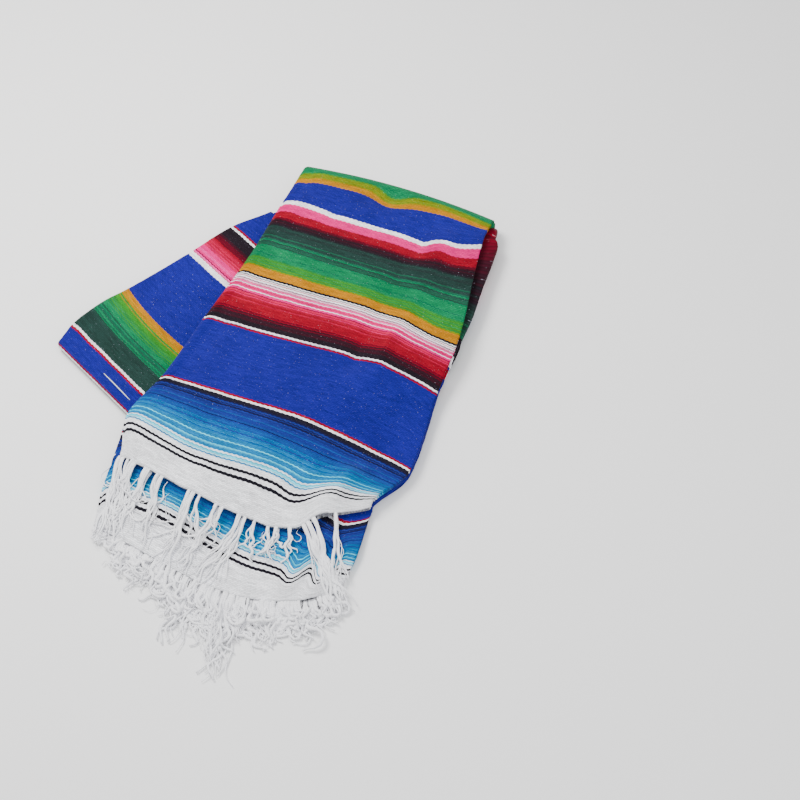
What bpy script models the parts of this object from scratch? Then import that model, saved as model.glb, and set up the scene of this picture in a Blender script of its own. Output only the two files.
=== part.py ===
"""A folded Mexican serape, lying flat.

The woven cloth is folded in four lengthwise, which gives a strip of four plies. The strip is
folded across its middle, and the pair is folded once more. The second half of the pair goes
back beneath and is fanned out to the left. Lengths are metres, +Z is up, the underside is at
zero, and the origin is the middle of the outline.
"""

import math
import random

import bmesh
import bpy
import numpy as np

# Cloth and stack
PLY = 0.0020
STRIP = 0.0090
PAIR = 2 * STRIP
GAP = 0.0003
CORE_CLEAR = 0.0013
INSET = PLY + CORE_CLEAR
LONG_ROLL = STRIP / 2
SEAT = 0.0030

# Crosswise folds: the outer one at the far end, the middle one at the left
OUTER_RADIUS = PAIR
MIDDLE_RADIUS = STRIP
OUTER_UNDERLAP = 0.015
MIDDLE_UNDERLAP = 0.012

# The slope on which the upper layers come down past the edge of the packet below
RAMP = 0.110

# Middle of the outline in the coordinates of the tables
OUTLINE_MIDDLE = (-0.0006, -0.0112)

# Mesh fineness
ACROSS_STEPS = 16
ROLL_STEPS = 5
OUTER_TURN_STEPS = 7
MIDDLE_TURN_STEPS = 6
STATION_STEP = 0.019
LOWER_STEP = 0.013
SLAB_POINTS = 9
SLAB_STEP = 0.026
OUTLINE_STATIONS = {"packet": 16, "upper": 30, "lower": 10}
HEM_POINTS = 9
SHARP_ANGLE = math.radians(45)

# Reach of the left stretch: where the search for its end starts, its step, the width at which
# it ends, and the spacing of the packet's sections about that end
LEFT_SEARCH_START = 0.15
LEFT_STEP = 0.002
LEFT_NARROWEST = 0.10
HALVINGS = 24
PACKET_START = 0.03

# How the hidden layers keep inside the outer plies: how far they go into the two crosswise
# folds and with which sections, and their clearance at folds, edges and hems
OUTER_END = 0.0148
MIDDLE_END = 0.0062
END_SHARES = (0.40, 0.70, 0.90)
ROLL_CLEAR = LONG_ROLL + 0.0015
END_CLEAR = 0.012
MIDDLE_END_CLEAR = 1.3 * END_CLEAR
HIDDEN_CLEAR = 0.002
EDGE_BACK = 0.001
CORE_BACK = 0.0015
HEM_SEAM = 0.0018

# Sides of the hidden layers: relative thickness of each ply, how deep the side goes in
# between them, and where each ply stands out
LONG_FOLD = ((1.0,), 0.0032, (0.25, 0.75))
CUT_EDGES = ((2.0, 1.0, 1.0), 0.0012, (0.5,))

# A row for each stripe line across the top stretch, from its hem to the outer fold:
# station, left x, left y, right x, right y, bow at one third, bow at two thirds
TOP_ROWS = {
    "hem": (0.000, -0.191, -0.102, 0.118, -0.170, -0.027, -0.043),
    "black lines": (0.044, -0.180, -0.057, 0.121, -0.158, -0.012, -0.017),
    "lower red line": (0.131, -0.139, 0.006, 0.164, -0.118, 0.004, 0.009),
    "upper red line": (0.231, -0.094, 0.095, 0.198, -0.015, 0.000, 0.007),
    "thin black line": (0.312, -0.053, 0.172, 0.226, 0.058, -0.001, 0.001),
    "red stripe": (0.419, -0.012, 0.266, 0.254, 0.180, -0.003, -0.010),
    "white stripe": (0.437, -0.004, 0.284, 0.260, 0.204, -0.002, -0.014),
    "yellow stripe": (0.479, 0.010, 0.316, 0.268, 0.227, 0.005, 0.002),
    "fold": (0.495, 0.017, 0.332, 0.273, 0.236, 0.009, 0.009),
}

# The lower strip, from its own hem to where the top hem lies on it, same columns
LOWER_ROWS = {
    "hem": (0.000, -0.205, -0.186, 0.082, -0.267, -0.022, -0.034),
    "black lines": (0.041, -0.202, -0.146, 0.100, -0.230, -0.012, -0.034),
    "under the top hem": (0.092, -0.191, -0.102, 0.118, -0.170, -0.027, -0.043),
}

# The packet beneath, from the middle fold at the left to the outer fold, same columns
PACKET_ROWS = {
    "middle fold": (0.000, -0.279, 0.070, -0.081, -0.126, 0.000, 0.000),
    "white line": (0.022, -0.268, 0.092, -0.066, -0.112, 0.000, 0.000),
    "dark green": (0.052, -0.244, 0.118, -0.043, -0.096, -0.004, 0.000),
    "yellow stripe": (0.112, -0.203, 0.148, 0.003, -0.060, -0.009, -0.003),
    "white stripe": (0.205, -0.131, 0.204, 0.075, -0.008, 0.000, 0.000),
    "dark line": (0.277, -0.076, 0.250, 0.132, 0.036, 0.000, 0.000),
    "shoulder": (0.340, -0.018, 0.280, 0.222, 0.078, 0.000, 0.000),
    "right bulge": (0.400, 0.004, 0.301, 0.258, 0.150, 0.004, 0.004),
    "under the fold": (0.455, 0.010, 0.313, 0.266, 0.217, 0.009, 0.009),
    "outer fold": (0.475, 0.017, 0.332, 0.273, 0.236, 0.009, 0.009),
}

# Where the right edges of the lower plies show past the top one:
# station on the top stretch, how far they reach past it
PEEK_ROWS = {
    "hem": (0.000, 0.000),
    "blue band": (0.180, 0.003),
    "black line": (0.312, 0.008),
    "white stripe": (0.437, 0.020),
    "fold": (0.495, 0.009),
}

# Soft folds of the upper layers: start x, start y, end x, end y, half width, height
SHARED_FOLDS = {
    "lengthwise crease": (0.216, 0.215, 0.120, 0.000, 0.012, 0.0030),
    "hollow beside it": (0.180, 0.225, 0.090, 0.020, 0.014, -0.0030),
    "left hollow": (0.020, 0.255, -0.120, -0.010, 0.012, -0.0025),
}
TOP_FOLDS = {
    "pushed hem ridge": (0.052, -0.176, 0.092, -0.128, 0.016, 0.0070),
    "corner ridge": (0.092, -0.128, 0.128, -0.150, 0.014, 0.0045),
}
LOWER_FOLDS = {
    "first gather": (0.024, -0.262, 0.062, -0.206, 0.012, 0.0050),
    "second gather": (0.054, -0.268, 0.092, -0.215, 0.012, 0.0045),
}

# Fringe: locks on each hem, their length, their section and the strip that holds them
FRINGE_SEED = 7
LOCK_WIDTH = 0.0019
BACKING_DEPTH = 0.0030
BACKING_HEIGHT = 0.0056
HANG = (-0.08, -1.0)
HANG_SHARE = 0.75
DROOP = 0.030
TOP_FRINGE = {"locks": 46, "steps": 8, "length": 0.100}
LOWER_FRINGE = {"locks": 54, "steps": 4, "length": 0.088}
FRINGE_FROM, FRINGE_TO = 0.012, 0.988
HEM_STEP = 0.004
SHORTEST, LONGEST = 0.82, 1.04
LEAN = 0.0018
ROOT_WIDTH, TAPER = 1.15, 0.35

# What the top fringe lies on: above the lower cloth, above the lower fringe, and how soon it
# comes down past the lower hem, whose outline has these margins
OVER_CLOTH = 0.0034
OVER_FRINGE = 0.0065
OFF_HEM = 0.020
HEM_MARGIN = 0.006
LAP_MARGIN = 0.020
UPPER_MARGIN = 0.050

CLOTH_COLOURS = {
    "top_stretch": (0.030, 0.055, 0.420),
    "left_stretch": (0.020, 0.260, 0.110),
    "lower_stretch": (0.010, 0.280, 0.520),
    "hidden_layers": (0.060, 0.050, 0.180),
}
FRINGE_COLOUR = (0.850, 0.850, 0.880)
CLOTH_ROUGHNESS = 0.9
YARN_ROUGHNESS = 0.8

# Factor that makes a cubic with zeros at 0, 1 and the other third reach its bow at a third
THIRDS = 13.5


def smooth(value):
    """Soft step from 0 to 1."""
    value = np.clip(value, 0.0, 1.0)
    return value * value * (3 - 2 * value)


def through_rows(stations, values, at):
    """Smooth curve through the rows of a table, straight past its ends."""
    slopes = np.gradient(values, stations, axis=0)
    i = int(np.clip(np.searchsorted(stations, at) - 1, 0, len(stations) - 2))
    span = stations[i + 1] - stations[i]
    t = (at - stations[i]) / span
    if t < 0:
        return values[0] + slopes[0] * (at - stations[0])
    if t > 1:
        return values[-1] + slopes[-1] * (at - stations[-1])
    start = (1 + 2 * t) * (1 - t) ** 2 * values[i] + t * (1 - t) ** 2 * span * slopes[i]
    end = t * t * (3 - 2 * t) * values[i + 1] + t * t * (t - 1) * span * slopes[i + 1]
    return start + end


class Strip:
    """Plan of one strip: its two long edges and the bow of the stripes between them."""

    def __init__(self, rows):
        table = np.array(list(rows.values()))
        self.stations = table[:, 0]
        self.columns = table[:, 1:]

    def edges(self, station):
        """Left edge, right edge, and the two bows at a station."""
        row = through_rows(self.stations, self.columns, station)
        return row[0:2], row[2:4], row[4:6]

    def plan(self, station, across):
        """Plan point at a station, from 0 at the left edge to 1 at the right."""
        left, right, bows = self.edges(station)
        return bowed(left, right, bows, across)


def bowed(left, right, bows, across):
    """Point between two edges, on the cubic that has the given bows at the thirds."""
    along = (right - left) / np.linalg.norm(right - left)
    ahead = np.array([-along[1], along[0]])
    first = THIRDS * across * (across - 2 / 3) * (across - 1)
    second = -THIRDS * across * (across - 1 / 3) * (across - 1)
    return left + (right - left) * across + ahead * (bows[0] * first + bows[1] * second)


def peek(station):
    """How far the lower plies reach past the right edge of the top stretch."""
    table = np.array(list(PEEK_ROWS.values()))
    return float(np.interp(station, table[:, 0], table[:, 1]))


def segment_distance(point, start, end):
    """Distance from a plan point to a segment."""
    run = end - start
    t = np.clip(np.dot(point - start, run) / np.dot(run, run), 0, 1)
    return float(np.linalg.norm(point - start - run * t))


def inside(point, outline):
    """Whether a plan point is inside a closed outline."""
    crossings = False
    for (x0, y0), (x1, y1) in zip(outline, np.roll(outline, -1, axis=0)):
        if (y0 > point[1]) != (y1 > point[1]):
            if point[0] < x0 + (point[1] - y0) * (x1 - x0) / (y1 - y0):
                crossings = not crossings
    return crossings


def folds_height(point, folds):
    """Height that a table of soft folds adds at a plan point."""
    total = 0.0
    for x0, y0, x1, y1, half_width, height in folds.values():
        distance = segment_distance(point, np.array([x0, y0]), np.array([x1, y1]))
        total += height * math.exp(-((distance / half_width) ** 2))
    return total


TOP = Strip(TOP_ROWS)
LOWER = Strip(LOWER_ROWS)
PACKET = Strip(PACKET_ROWS)
TOP_FOLD = TOP.stations[-1]
LOWER_HEM = LOWER.stations[-1]
PACKET_FOLD = PACKET.stations[-1]


def packet_outline():
    """Plan outline of the packet, out to the middle of its rounded folds."""
    ends = (-MIDDLE_RADIUS, PACKET_FOLD + OUTER_RADIUS)
    stations = np.linspace(*ends, OUTLINE_STATIONS["packet"])
    left = [PACKET.edges(s)[0] for s in stations]
    right = [PACKET.edges(s)[1] for s in stations]
    return np.array(left + right[::-1])


def upper_outline():
    """Plan outline of the upper strips with their clearance at the left."""
    left, right = [], []
    for s in np.linspace(-UPPER_MARGIN, TOP_FOLD + OUTER_RADIUS, OUTLINE_STATIONS["upper"]):
        edge, far, _ = TOP.edges(s)
        along = (far - edge) / np.linalg.norm(far - edge)
        left.append(edge - along * 2 * GAP)
        right.append(far)
    return np.array(left + right[::-1])


def lower_outline():
    """Plan outline of the lower stretch with a margin for the strip on its hem."""
    left, right = [], []
    for s in np.linspace(-HEM_MARGIN, LOWER_HEM + LAP_MARGIN, OUTLINE_STATIONS["lower"]):
        edge, far, _ = LOWER.edges(s)
        left.append(edge)
        right.append(far)
    hem = [LOWER.plan(-HEM_MARGIN, share) for share in np.linspace(1, 0, HEM_POINTS)[1:-1]]
    return np.array(left + right[::-1] + hem)


PACKET_OUTLINE = packet_outline()
UPPER_OUTLINE = upper_outline()
LOWER_OUTLINE = lower_outline()


def support(point):
    """Height of what lies beneath the upper layers: the packet, or a slope beside it."""
    if inside(point, PACKET_OUTLINE):
        return PAIR
    pairs = zip(PACKET_OUTLINE, np.roll(PACKET_OUTLINE, -1, axis=0))
    distance = min(segment_distance(point, start, end) for start, end in pairs)
    return float(PAIR * smooth(1 - distance / RAMP))


def lower_height(point):
    """Upper face of the lower strip."""
    folds = folds_height(point, SHARED_FOLDS) + folds_height(point, LOWER_FOLDS)
    return support(point) + STRIP + folds


def top_height(point):
    """Upper face of the top stretch."""
    folds = folds_height(point, SHARED_FOLDS) + folds_height(point, TOP_FOLDS)
    return support(point) + PAIR + folds


def outward(strip, station, sign):
    """Plan direction square to a fold line, pointing out of the strip."""
    left, right, _ = strip.edges(station)
    along = (right - left) / np.linalg.norm(right - left)
    return sign * np.array([-along[1], along[0]])


OUTER_WAY = outward(TOP, TOP_FOLD, 1)
MIDDLE_WAY = outward(PACKET, 0.0, -1)


def rolled(start, way, radius, past):
    """Point and outward direction on a half round, a distance past the line it starts at."""
    turn = min(past / radius, math.pi)
    tail = max(0.0, past - math.pi * radius)
    plan = start + way * (radius * math.sin(turn) - tail)
    up = np.array([*(way * math.sin(turn)), math.cos(turn)])
    return np.array([*plan, radius * (1 + math.cos(turn))]), up


def top_surface(station, across):
    """Outer face of the top stretch and its outward direction, round the outer fold too."""
    plan = TOP.plan(min(station, TOP_FOLD), across)
    if station <= TOP_FOLD:
        return np.array([*plan, top_height(plan)]), np.array([0.0, 0.0, 1.0])
    return rolled(plan, OUTER_WAY, OUTER_RADIUS, station - TOP_FOLD)


def left_surface(station, across):
    """Outer face of the left stretch and its outward direction, round the middle fold too."""
    plan = PACKET.plan(max(station, 0.0), across)
    if station >= 0:
        return np.array([*plan, PAIR]), np.array([0.0, 0.0, 1.0])
    return rolled(plan, MIDDLE_WAY, MIDDLE_RADIUS, -station)


def lower_surface(station, across):
    """Outer face of the lower stretch and its outward direction."""
    plan = LOWER.plan(station, across)
    return np.array([*plan, lower_height(plan)]), np.array([0.0, 0.0, 1.0])


def section(surface, station, last_across):
    """Points of one section: round the long fold at the left, then across the face."""
    edge, up = surface(station, 0.0)
    far = surface(station, last_across)[0]
    along = far - edge
    along -= up * np.dot(along, up)
    along /= np.linalg.norm(along)
    width = np.linalg.norm(surface(station, 1.0)[0] - edge)
    first = LONG_ROLL / width
    face, _ = surface(station, first)
    centre = edge + along * LONG_ROLL
    centre += up * (np.dot(face - centre, up) - LONG_ROLL)
    points = []
    for angle in np.linspace(math.pi, 0, ROLL_STEPS, endpoint=False):
        points.append(centre + LONG_ROLL * (up * math.cos(angle) - along * math.sin(angle)))
    for across in np.linspace(first, last_across, ACROSS_STEPS):
        points.append(surface(station, across)[0])
    return points


def new_object(name, mesh_data, colour, collection, roughness=CLOTH_ROUGHNESS):
    """Object with its own plain material, shaded smooth."""
    mesh = bpy.data.meshes.new(name)
    mesh_data.normal_update()
    mesh_data.to_mesh(mesh)
    mesh_data.free()
    mesh.shade_smooth()
    mesh.set_sharp_from_angle(angle=SHARP_ANGLE)
    material = bpy.data.materials.new(name)
    material.use_nodes = True
    shader = material.node_tree.nodes["Principled BSDF"]
    shader.inputs["Base Color"].default_value = (*colour, 1.0)
    shader.inputs["Roughness"].default_value = roughness
    shader.inputs["Metallic"].default_value = 0.0
    mesh.materials.append(material)
    item = bpy.data.objects.new(name, mesh)
    collection.objects.link(item)
    return item


def skin(data, sections, closed):
    """Faces between sections of equal count; returns the points of the first and last."""
    rings = [[data.verts.new(point) for point in points] for points in sections]
    count = len(rings[0])
    for near, far in zip(rings, rings[1:]):
        for i in range(count if closed else count - 1):
            j = (i + 1) % count
            data.faces.new((near[i], near[j], far[j], far[i]))
    return rings[0], rings[-1]


def slab(sections):
    """Closed mesh through slab sections, with a face between each bottom and top point."""
    data = bmesh.new()
    loops = [bottom + right + top[::-1] + left for bottom, right, top, left in sections]
    count, rise = len(sections[0][0]), len(sections[0][1])
    for ring in skin(data, loops, closed=True):
        bottom, right = ring[:count], ring[count:count + rise]
        top, left = ring[count + rise:2 * count + rise][::-1], ring[2 * count + rise:]
        for i in range(count - 1):
            data.faces.new((bottom[i], bottom[i + 1], top[i + 1], top[i]))
        fan(data, [bottom[-1], *right, top[-1]])
        fan(data, [top[0], *left, bottom[0]])
    bmesh.ops.recalc_face_normals(data, faces=data.faces)
    return data


def fan(data, corners):
    """Faces from a point near the middle of the first and last corner to all the corners."""
    middle = (corners[0].co + corners[-1].co) / 2
    outer = corners[len(corners) // 2].co
    hub = data.verts.new(middle.lerp(outer, 0.1))
    for here, there in zip(corners, corners[1:] + corners[:1]):
        data.faces.new((hub, here, there))


def wall(name, sections, collection):
    """One ply of cloth: a sheet through the sections, thickened inwards."""
    data = bmesh.new()
    skin(data, sections, closed=False)
    item = new_object(name, data, CLOTH_COLOURS[name], collection)
    thick = item.modifiers.new("ply", "SOLIDIFY")
    thick.thickness = PLY
    thick.offset = -1
    return item


def spaced(start, end, step=STATION_STEP):
    """Even stations from start to end, no further apart than the step."""
    return list(np.linspace(start, end, max(2, math.ceil((end - start) / step) + 1)))


def make_top_stretch(collection):
    """The top stretch, from its hem over the outer fold to the floor beneath."""
    turn = math.pi * OUTER_RADIUS
    stations = spaced(0.0, TOP_FOLD)
    stations += list(np.linspace(TOP_FOLD, TOP_FOLD + turn, OUTER_TURN_STEPS + 1)[1:])
    stations.append(TOP_FOLD + turn + OUTER_UNDERLAP)
    sections = [section(top_surface, s, 1.0) for s in stations]
    return wall("top_stretch", sections, collection)


def left_reach(station):
    """How far across the packet the left stretch shows, out to the upper strips' edge."""
    low, high = 0.0, 1.0
    for _ in range(HALVINGS):
        middle = (low + high) / 2
        if inside(left_surface(station, middle)[0][:2], UPPER_OUTLINE):
            high = middle
        else:
            low = middle
    return low


def left_end():
    """Station at which the left stretch has all but gone beneath the upper strips."""
    station = LEFT_SEARCH_START
    while left_reach(station) > LEFT_NARROWEST:
        station += LEFT_STEP
    return station


LEFT_END = left_end()


def make_left_stretch(collection):
    """The left stretch, from under the top one over the middle fold to the floor."""
    turn = math.pi * MIDDLE_RADIUS
    stations = [-turn - MIDDLE_UNDERLAP]
    stations += list(np.linspace(-turn, 0, MIDDLE_TURN_STEPS, endpoint=False))
    stations += spaced(0.0, LEFT_END)
    sections = [section(left_surface, s, left_reach(s)) for s in stations]
    return wall("left_stretch", sections, collection)


def make_lower_stretch(collection):
    """The lower stretch, from its own hem to the top stretch's hem."""
    stations = spaced(0.0, LOWER_HEM - HEM_SEAM, LOWER_STEP)
    sections = [section(lower_surface, s, 1.0) for s in stations]
    return wall("lower_stretch", sections, collection)


def ply_rows(low, high, plies, depth, swells, inward, ease=1.0):
    """Heights up one side and how far each is pulled in: deeper between plies than on them.

    ease scales the depth, down to 0 for a side with no layers.
    """
    rows = []
    levels = np.cumsum([0.0, *plies]) / sum(plies)
    for start, end in zip(levels, levels[1:]):
        for part, pull in ((0.0, depth * ease), *((swell, 0.0) for swell in swells)):
            rows.append((low + (high - low) * (start + (end - start) * part), inward + pull))
    return rows


def slab_section(edges, left_rows, right_rows, low, high, points=SLAB_POINTS):
    """Section of hidden plies: its points along the bottom, right side, top and left side.

    edges holds the left and right plan points and the bows, each side its heights and how
    far they are pulled in, and low and high are the functions for the bottom and the top.
    """
    left, right, bows = edges
    width = np.linalg.norm(right - left)

    def place(z, left_pull=None, right_pull=None):
        share = left_pull / width if right_pull is None else 1 - right_pull / width
        return np.array([*bowed(left, right, bows, share), z])

    def face(height):
        shares = np.linspace(LONG_ROLL / width, 1.0, points)[1:-1]
        plans = [bowed(left, right, bows, share) for share in shares]
        return [np.array([*plan, height(plan)]) for plan in plans]

    bottom = face(low)
    top = face(high)
    right_points = [place(z, right_pull=pull) for z, pull in right_rows]
    left_points = [place(z, left_pull=pull) for z, pull in left_rows]
    return bottom, right_points, top, left_points[::-1]


def moved(edges, way, past):
    """The edges of a section moved past a fold line."""
    left, right, bows = edges
    return left + way * past, right + way * past, bows


def level(height):
    """Function that gives the same height at every plan point."""
    return lambda point: height


def upper_bottom(point):
    """Underside of the lower strip: sunk a little into the packet, or on the floor."""
    return max(0.0, support(point) - INSET - SEAT)


def core_height(point):
    """Height of the hidden plies' top above the strips: the soft folds, less the outer ply."""
    return support(point) + folds_height(point, SHARED_FOLDS) - INSET


def upper_section(edges, reach, clear, levels, ease=1.0, top_clear=ROLL_CLEAR):
    """Section of the two upper strips: the lower one whole, the top one inside its ply.

    reach is how far the lower strip shows at the right, clear how far it is in at the left,
    and levels holds the functions for the bottom, the middle and the top.
    """
    left, right, bows = edges
    low, middle, high = levels
    roll = bowed(left, right, bows, LONG_ROLL / np.linalg.norm(right - left))
    left_rows = ply_rows(low(roll), middle(roll), *LONG_FOLD, clear, ease)
    left_rows += [(middle(roll), top_clear), (high(roll), top_clear)]
    right_rows = ply_rows(low(right), middle(right), *CUT_EDGES, -reach, ease)
    right_rows += ply_rows(middle(right), high(right), *CUT_EDGES, EDGE_BACK, ease)
    right_rows.append((high(right), EDGE_BACK))
    return slab_section(edges, left_rows, right_rows, low, high, ACROSS_STEPS)


def lower_core_top(point):
    """Top of the hidden plies of the lower stretch."""
    return core_height(point) + STRIP


def lower_core_middle(point):
    """Middle of the hidden plies of the lower stretch."""
    return (upper_bottom(point) + lower_core_top(point)) / 2


def pair_core_top(point):
    """Top of the hidden plies of both upper strips."""
    return core_height(point) + PAIR


def pair_core_middle(point):
    """Where the top strip lies on the lower one."""
    return core_height(point) + INSET + STRIP - GAP


def make_upper_core():
    """The lower plies of the lower stretch, then both upper strips inside the top ply."""
    sections = []
    hem = LOWER_HEM - GAP
    levels = (upper_bottom, lower_core_middle, lower_core_top)
    for s in [CORE_BACK, *spaced(0.0, hem, LOWER_STEP)[1:]]:
        ease = 0.0 if s == hem else 1.0
        sections.append(upper_section(LOWER.edges(s), -EDGE_BACK, ROLL_CLEAR, levels, ease))
    levels = (upper_bottom, pair_core_middle, pair_core_top)
    for s in [CORE_BACK, *spaced(0.0, TOP_FOLD)[1:]]:
        first = s == CORE_BACK
        reach = -EDGE_BACK if first else peek(s)
        clear = ROLL_CLEAR if first else EDGE_BACK
        sections.append(upper_section(TOP.edges(s), reach, clear, levels, 1.0 - first))
    for share in END_SHARES:
        past = share * OUTER_END
        rise = math.sqrt(OUTER_END**2 - past**2)
        edges = moved(TOP.edges(TOP_FOLD), OUTER_WAY, past)
        levels = (level(PAIR - INSET - SEAT), level(PAIR + rise / 2), level(PAIR + rise))
        ease = 1.0 if share < END_SHARES[-1] else 0.0
        reach = peek(TOP_FOLD) * (1 - share)
        sections.append(upper_section(edges, reach, END_CLEAR, levels, ease, END_CLEAR))
    return sections


def packet_section(edges, clear, low, high):
    """Section of the packet's hidden plies: two strips, one on the other."""
    middle = (low + high) / 2
    left_rows = ply_rows(low, middle, *LONG_FOLD, clear)
    left_rows += ply_rows(middle, high, *LONG_FOLD, clear)
    left_rows.append((high, clear + LONG_FOLD[1]))
    right_rows = ply_rows(low, middle, *CUT_EDGES, 0.0)
    right_rows += ply_rows(middle, high, *CUT_EDGES, 0.0)
    right_rows.append((high, CUT_EDGES[1]))
    return slab_section(edges, left_rows, right_rows, level(low), level(high))


def make_packet_core():
    """The hidden plies of the packet, between its two crosswise folds."""
    sections = []
    for past in np.multiply(END_SHARES[::-1], MIDDLE_END):
        rise = math.sqrt(MIDDLE_END**2 - past**2)
        edges = moved(PACKET.edges(0.0), MIDDLE_WAY, past)
        sections.append(packet_section(edges, MIDDLE_END_CLEAR, STRIP - rise, STRIP + rise))
    lap_in = MIDDLE_UNDERLAP
    lap_out = PACKET_FOLD - OUTER_UNDERLAP
    hidden_from, hidden_to = LEFT_END + 2 * LEFT_STEP, lap_out - 4 * LEFT_STEP
    stations = [0.0, lap_in, lap_in + 2 * GAP]
    stations += spaced(PACKET_START, hidden_from - LEFT_STEP, SLAB_STEP)
    stations += spaced(hidden_from + LEFT_STEP, lap_out - 2 * LEFT_STEP, SLAB_STEP)
    stations += [lap_out - 2 * GAP, lap_out, PACKET_FOLD]
    for s in stations:
        hidden = hidden_from < s < hidden_to
        lapped = s < lap_in + GAP or s > lap_out - GAP
        clear = HIDDEN_CLEAR if hidden else (END_CLEAR if s <= lap_in else ROLL_CLEAR)
        low = INSET if lapped else 0.0
        sections.append(packet_section(PACKET.edges(s), clear, low, PAIR - INSET))
    for past in np.multiply(END_SHARES, OUTER_END):
        drop = math.sqrt(OUTER_END**2 - past**2)
        edges = moved(PACKET.edges(PACKET_FOLD), OUTER_WAY, past)
        sections.append(packet_section(edges, END_CLEAR, PAIR - drop, PAIR - INSET))
    return sections


def make_hidden_layers(collection, cutters):
    """All the plies that don't show, joined into one solid with layered sides."""
    colour = CLOTH_COLOURS["hidden_layers"]
    data = slab(make_packet_core())
    item = new_object("hidden_layers", data, colour, collection)
    core = new_object("upper_core", slab(make_upper_core()), colour, cutters)
    core.hide_render = True
    core.display_type = "WIRE"
    join = item.modifiers.new("upper_core", "BOOLEAN")
    join.operation = "UNION"
    join.object = core
    return item


def hem_frame(surface, across):
    """Place of a hem at a share across it, and the plan direction out of the cloth."""
    here = surface(0.0, across)[0]
    before = surface(0.0, max(0.0, across - HEM_STEP))[0]
    after = surface(0.0, min(1.0, across + HEM_STEP))[0]
    along = (after - before)[:2]
    along /= np.linalg.norm(along)
    return here, np.array([along[1], -along[0]])


def make_fringe(name, surface, sizes, rest_height, collection):
    """Locks of yarn on a narrow strip that lies just off a hem.

    The strip is a row of cells, and every second cell's outer face is drawn out as a lock.
    rest_height gives the lowest that a lock may lie at a plan point.
    """
    random.seed(FRINGE_SEED + sizes["locks"])
    cells = 2 * sizes["locks"] + 1
    data = bmesh.new()
    columns = []
    for share in np.linspace(FRINGE_FROM, FRINGE_TO, cells + 1):
        here, way = hem_frame(surface, share)
        middle = here[2] - STRIP / 2
        corners = []
        for out, up in ((0, -1), (1, -1), (1, 1), (0, 1)):
            plan = here[:2] + way * (GAP + out * BACKING_DEPTH)
            corners.append(data.verts.new((*plan, middle + up * BACKING_HEIGHT / 2)))
        columns.append((corners, way))
    for (near, _), (far, _) in zip(columns, columns[1:]):
        for i in range(4):
            j = (i + 1) % 4
            if i != 1:
                data.faces.new((near[i], near[j], far[j], far[i]))
    data.faces.new(columns[0][0][::-1])
    data.faces.new(columns[-1][0])
    for cell, ((near, way), (far, far_way)) in enumerate(zip(columns, columns[1:])):
        root = [near[1], near[2], far[2], far[1]]
        if cell % 2 == 0:
            data.faces.new(root)
            continue
        draw_lock(data, root, hang_way(way + far_way), sizes, rest_height)
    bmesh.ops.recalc_face_normals(data, faces=data.faces)
    return new_object(name, data, FRINGE_COLOUR, collection, YARN_ROUGHNESS)


def hang_way(way):
    """Direction of a lock: mostly the way all of them hang, and partly square to the hem."""
    hang = np.array(HANG) / np.linalg.norm(HANG)
    mixed = way / np.linalg.norm(way) * (1 - HANG_SHARE) + hang * HANG_SHARE
    return mixed / np.linalg.norm(mixed)


def draw_lock(data, root, way, sizes, rest_height):
    """One four-sided lock from a face of the strip to its own end."""
    across = np.array([way[1], -way[0]])
    start = np.mean([np.array(vert.co) for vert in root], axis=0)
    length = sizes["length"] * random.uniform(SHORTEST, LONGEST)
    lean = random.uniform(-LEAN, LEAN)
    last = root
    side = facing(root, across)
    for step in range(1, sizes["steps"] + 1):
        t = step / sizes["steps"]
        plan = start[:2] + way * length * t + across * lean * t * t
        half = LOCK_WIDTH / 2 * (ROOT_WIDTH - TAPER * t)
        low = rest_height(plan) + half + GAP
        z = low + max(0.0, start[2] - low) * math.exp(-((t * length / DROOP) ** 2))
        ring = []
        for sideways, up in ((-1, -1), (-1, 1), (1, 1), (1, -1)):
            place = plan - across * half * sideways * side
            ring.append(data.verts.new((*place, z + half * up)))
        for i in range(4):
            j = (i + 1) % 4
            data.faces.new((last[i], last[j], ring[j], ring[i]))
        last = ring
    data.faces.new(last)


def facing(root, across):
    """Which way the strip runs against the sideways direction of a lock."""
    run = np.array(root[3].co - root[0].co)[:2]
    return -1.0 if np.dot(run, across) > 0 else 1.0


def top_fringe_rest(point):
    """Height on which the top fringe lies: the lower stretch, then the lower fringe."""
    over_cloth = lower_height(point) + OVER_CLOTH
    if inside(point, LOWER_OUTLINE):
        return over_cloth
    pairs = zip(LOWER_OUTLINE, np.roll(LOWER_OUTLINE, -1, axis=0))
    distance = min(segment_distance(point, start, end) for start, end in pairs)
    drop = math.exp(-((distance / OFF_HEM) ** 2))
    return OVER_FRINGE + (over_cloth - OVER_FRINGE) * drop


def lower_fringe_rest(point):
    """Height on which the lower fringe lies: just above the floor."""
    return GAP


def clear_scene():
    """Remove whatever the scene holds."""
    for item in list(bpy.data.objects):
        bpy.data.objects.remove(item, do_unlink=True)


def new_collection(name):
    """Collection linked to the scene."""
    collection = bpy.data.collections.new(name)
    bpy.context.scene.collection.children.link(collection)
    return collection


def main():
    """Build the folded serape and centre it on its outline."""
    clear_scene()
    serape = new_collection("mexican_serape")
    cutters = new_collection("cutters")
    pieces = [
        make_top_stretch(serape),
        make_left_stretch(serape),
        make_lower_stretch(serape),
        make_hidden_layers(serape, cutters),
        make_fringe("fringe_top", top_surface, TOP_FRINGE, top_fringe_rest, serape),
        make_fringe("fringe_lower", lower_surface, LOWER_FRINGE, lower_fringe_rest, serape),
    ]
    frame = bpy.data.objects.new("outline_middle", None)
    frame.location = (-OUTLINE_MIDDLE[0], -OUTLINE_MIDDLE[1], 0.0)
    serape.objects.link(frame)
    for piece in pieces + list(cutters.objects):
        piece.parent = frame


main()
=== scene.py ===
"""The looks of a folded Mexican serape: striped wool cloth with knotted white fringe.

The cloth is folded in four lengthwise into a strip, the strip is folded across its middle, and
the pair is folded once more, with the second half fanned out to the left beneath. Lengths are
metres. The tables hold plan positions, and the origin is the middle of the outline.
"""

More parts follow.
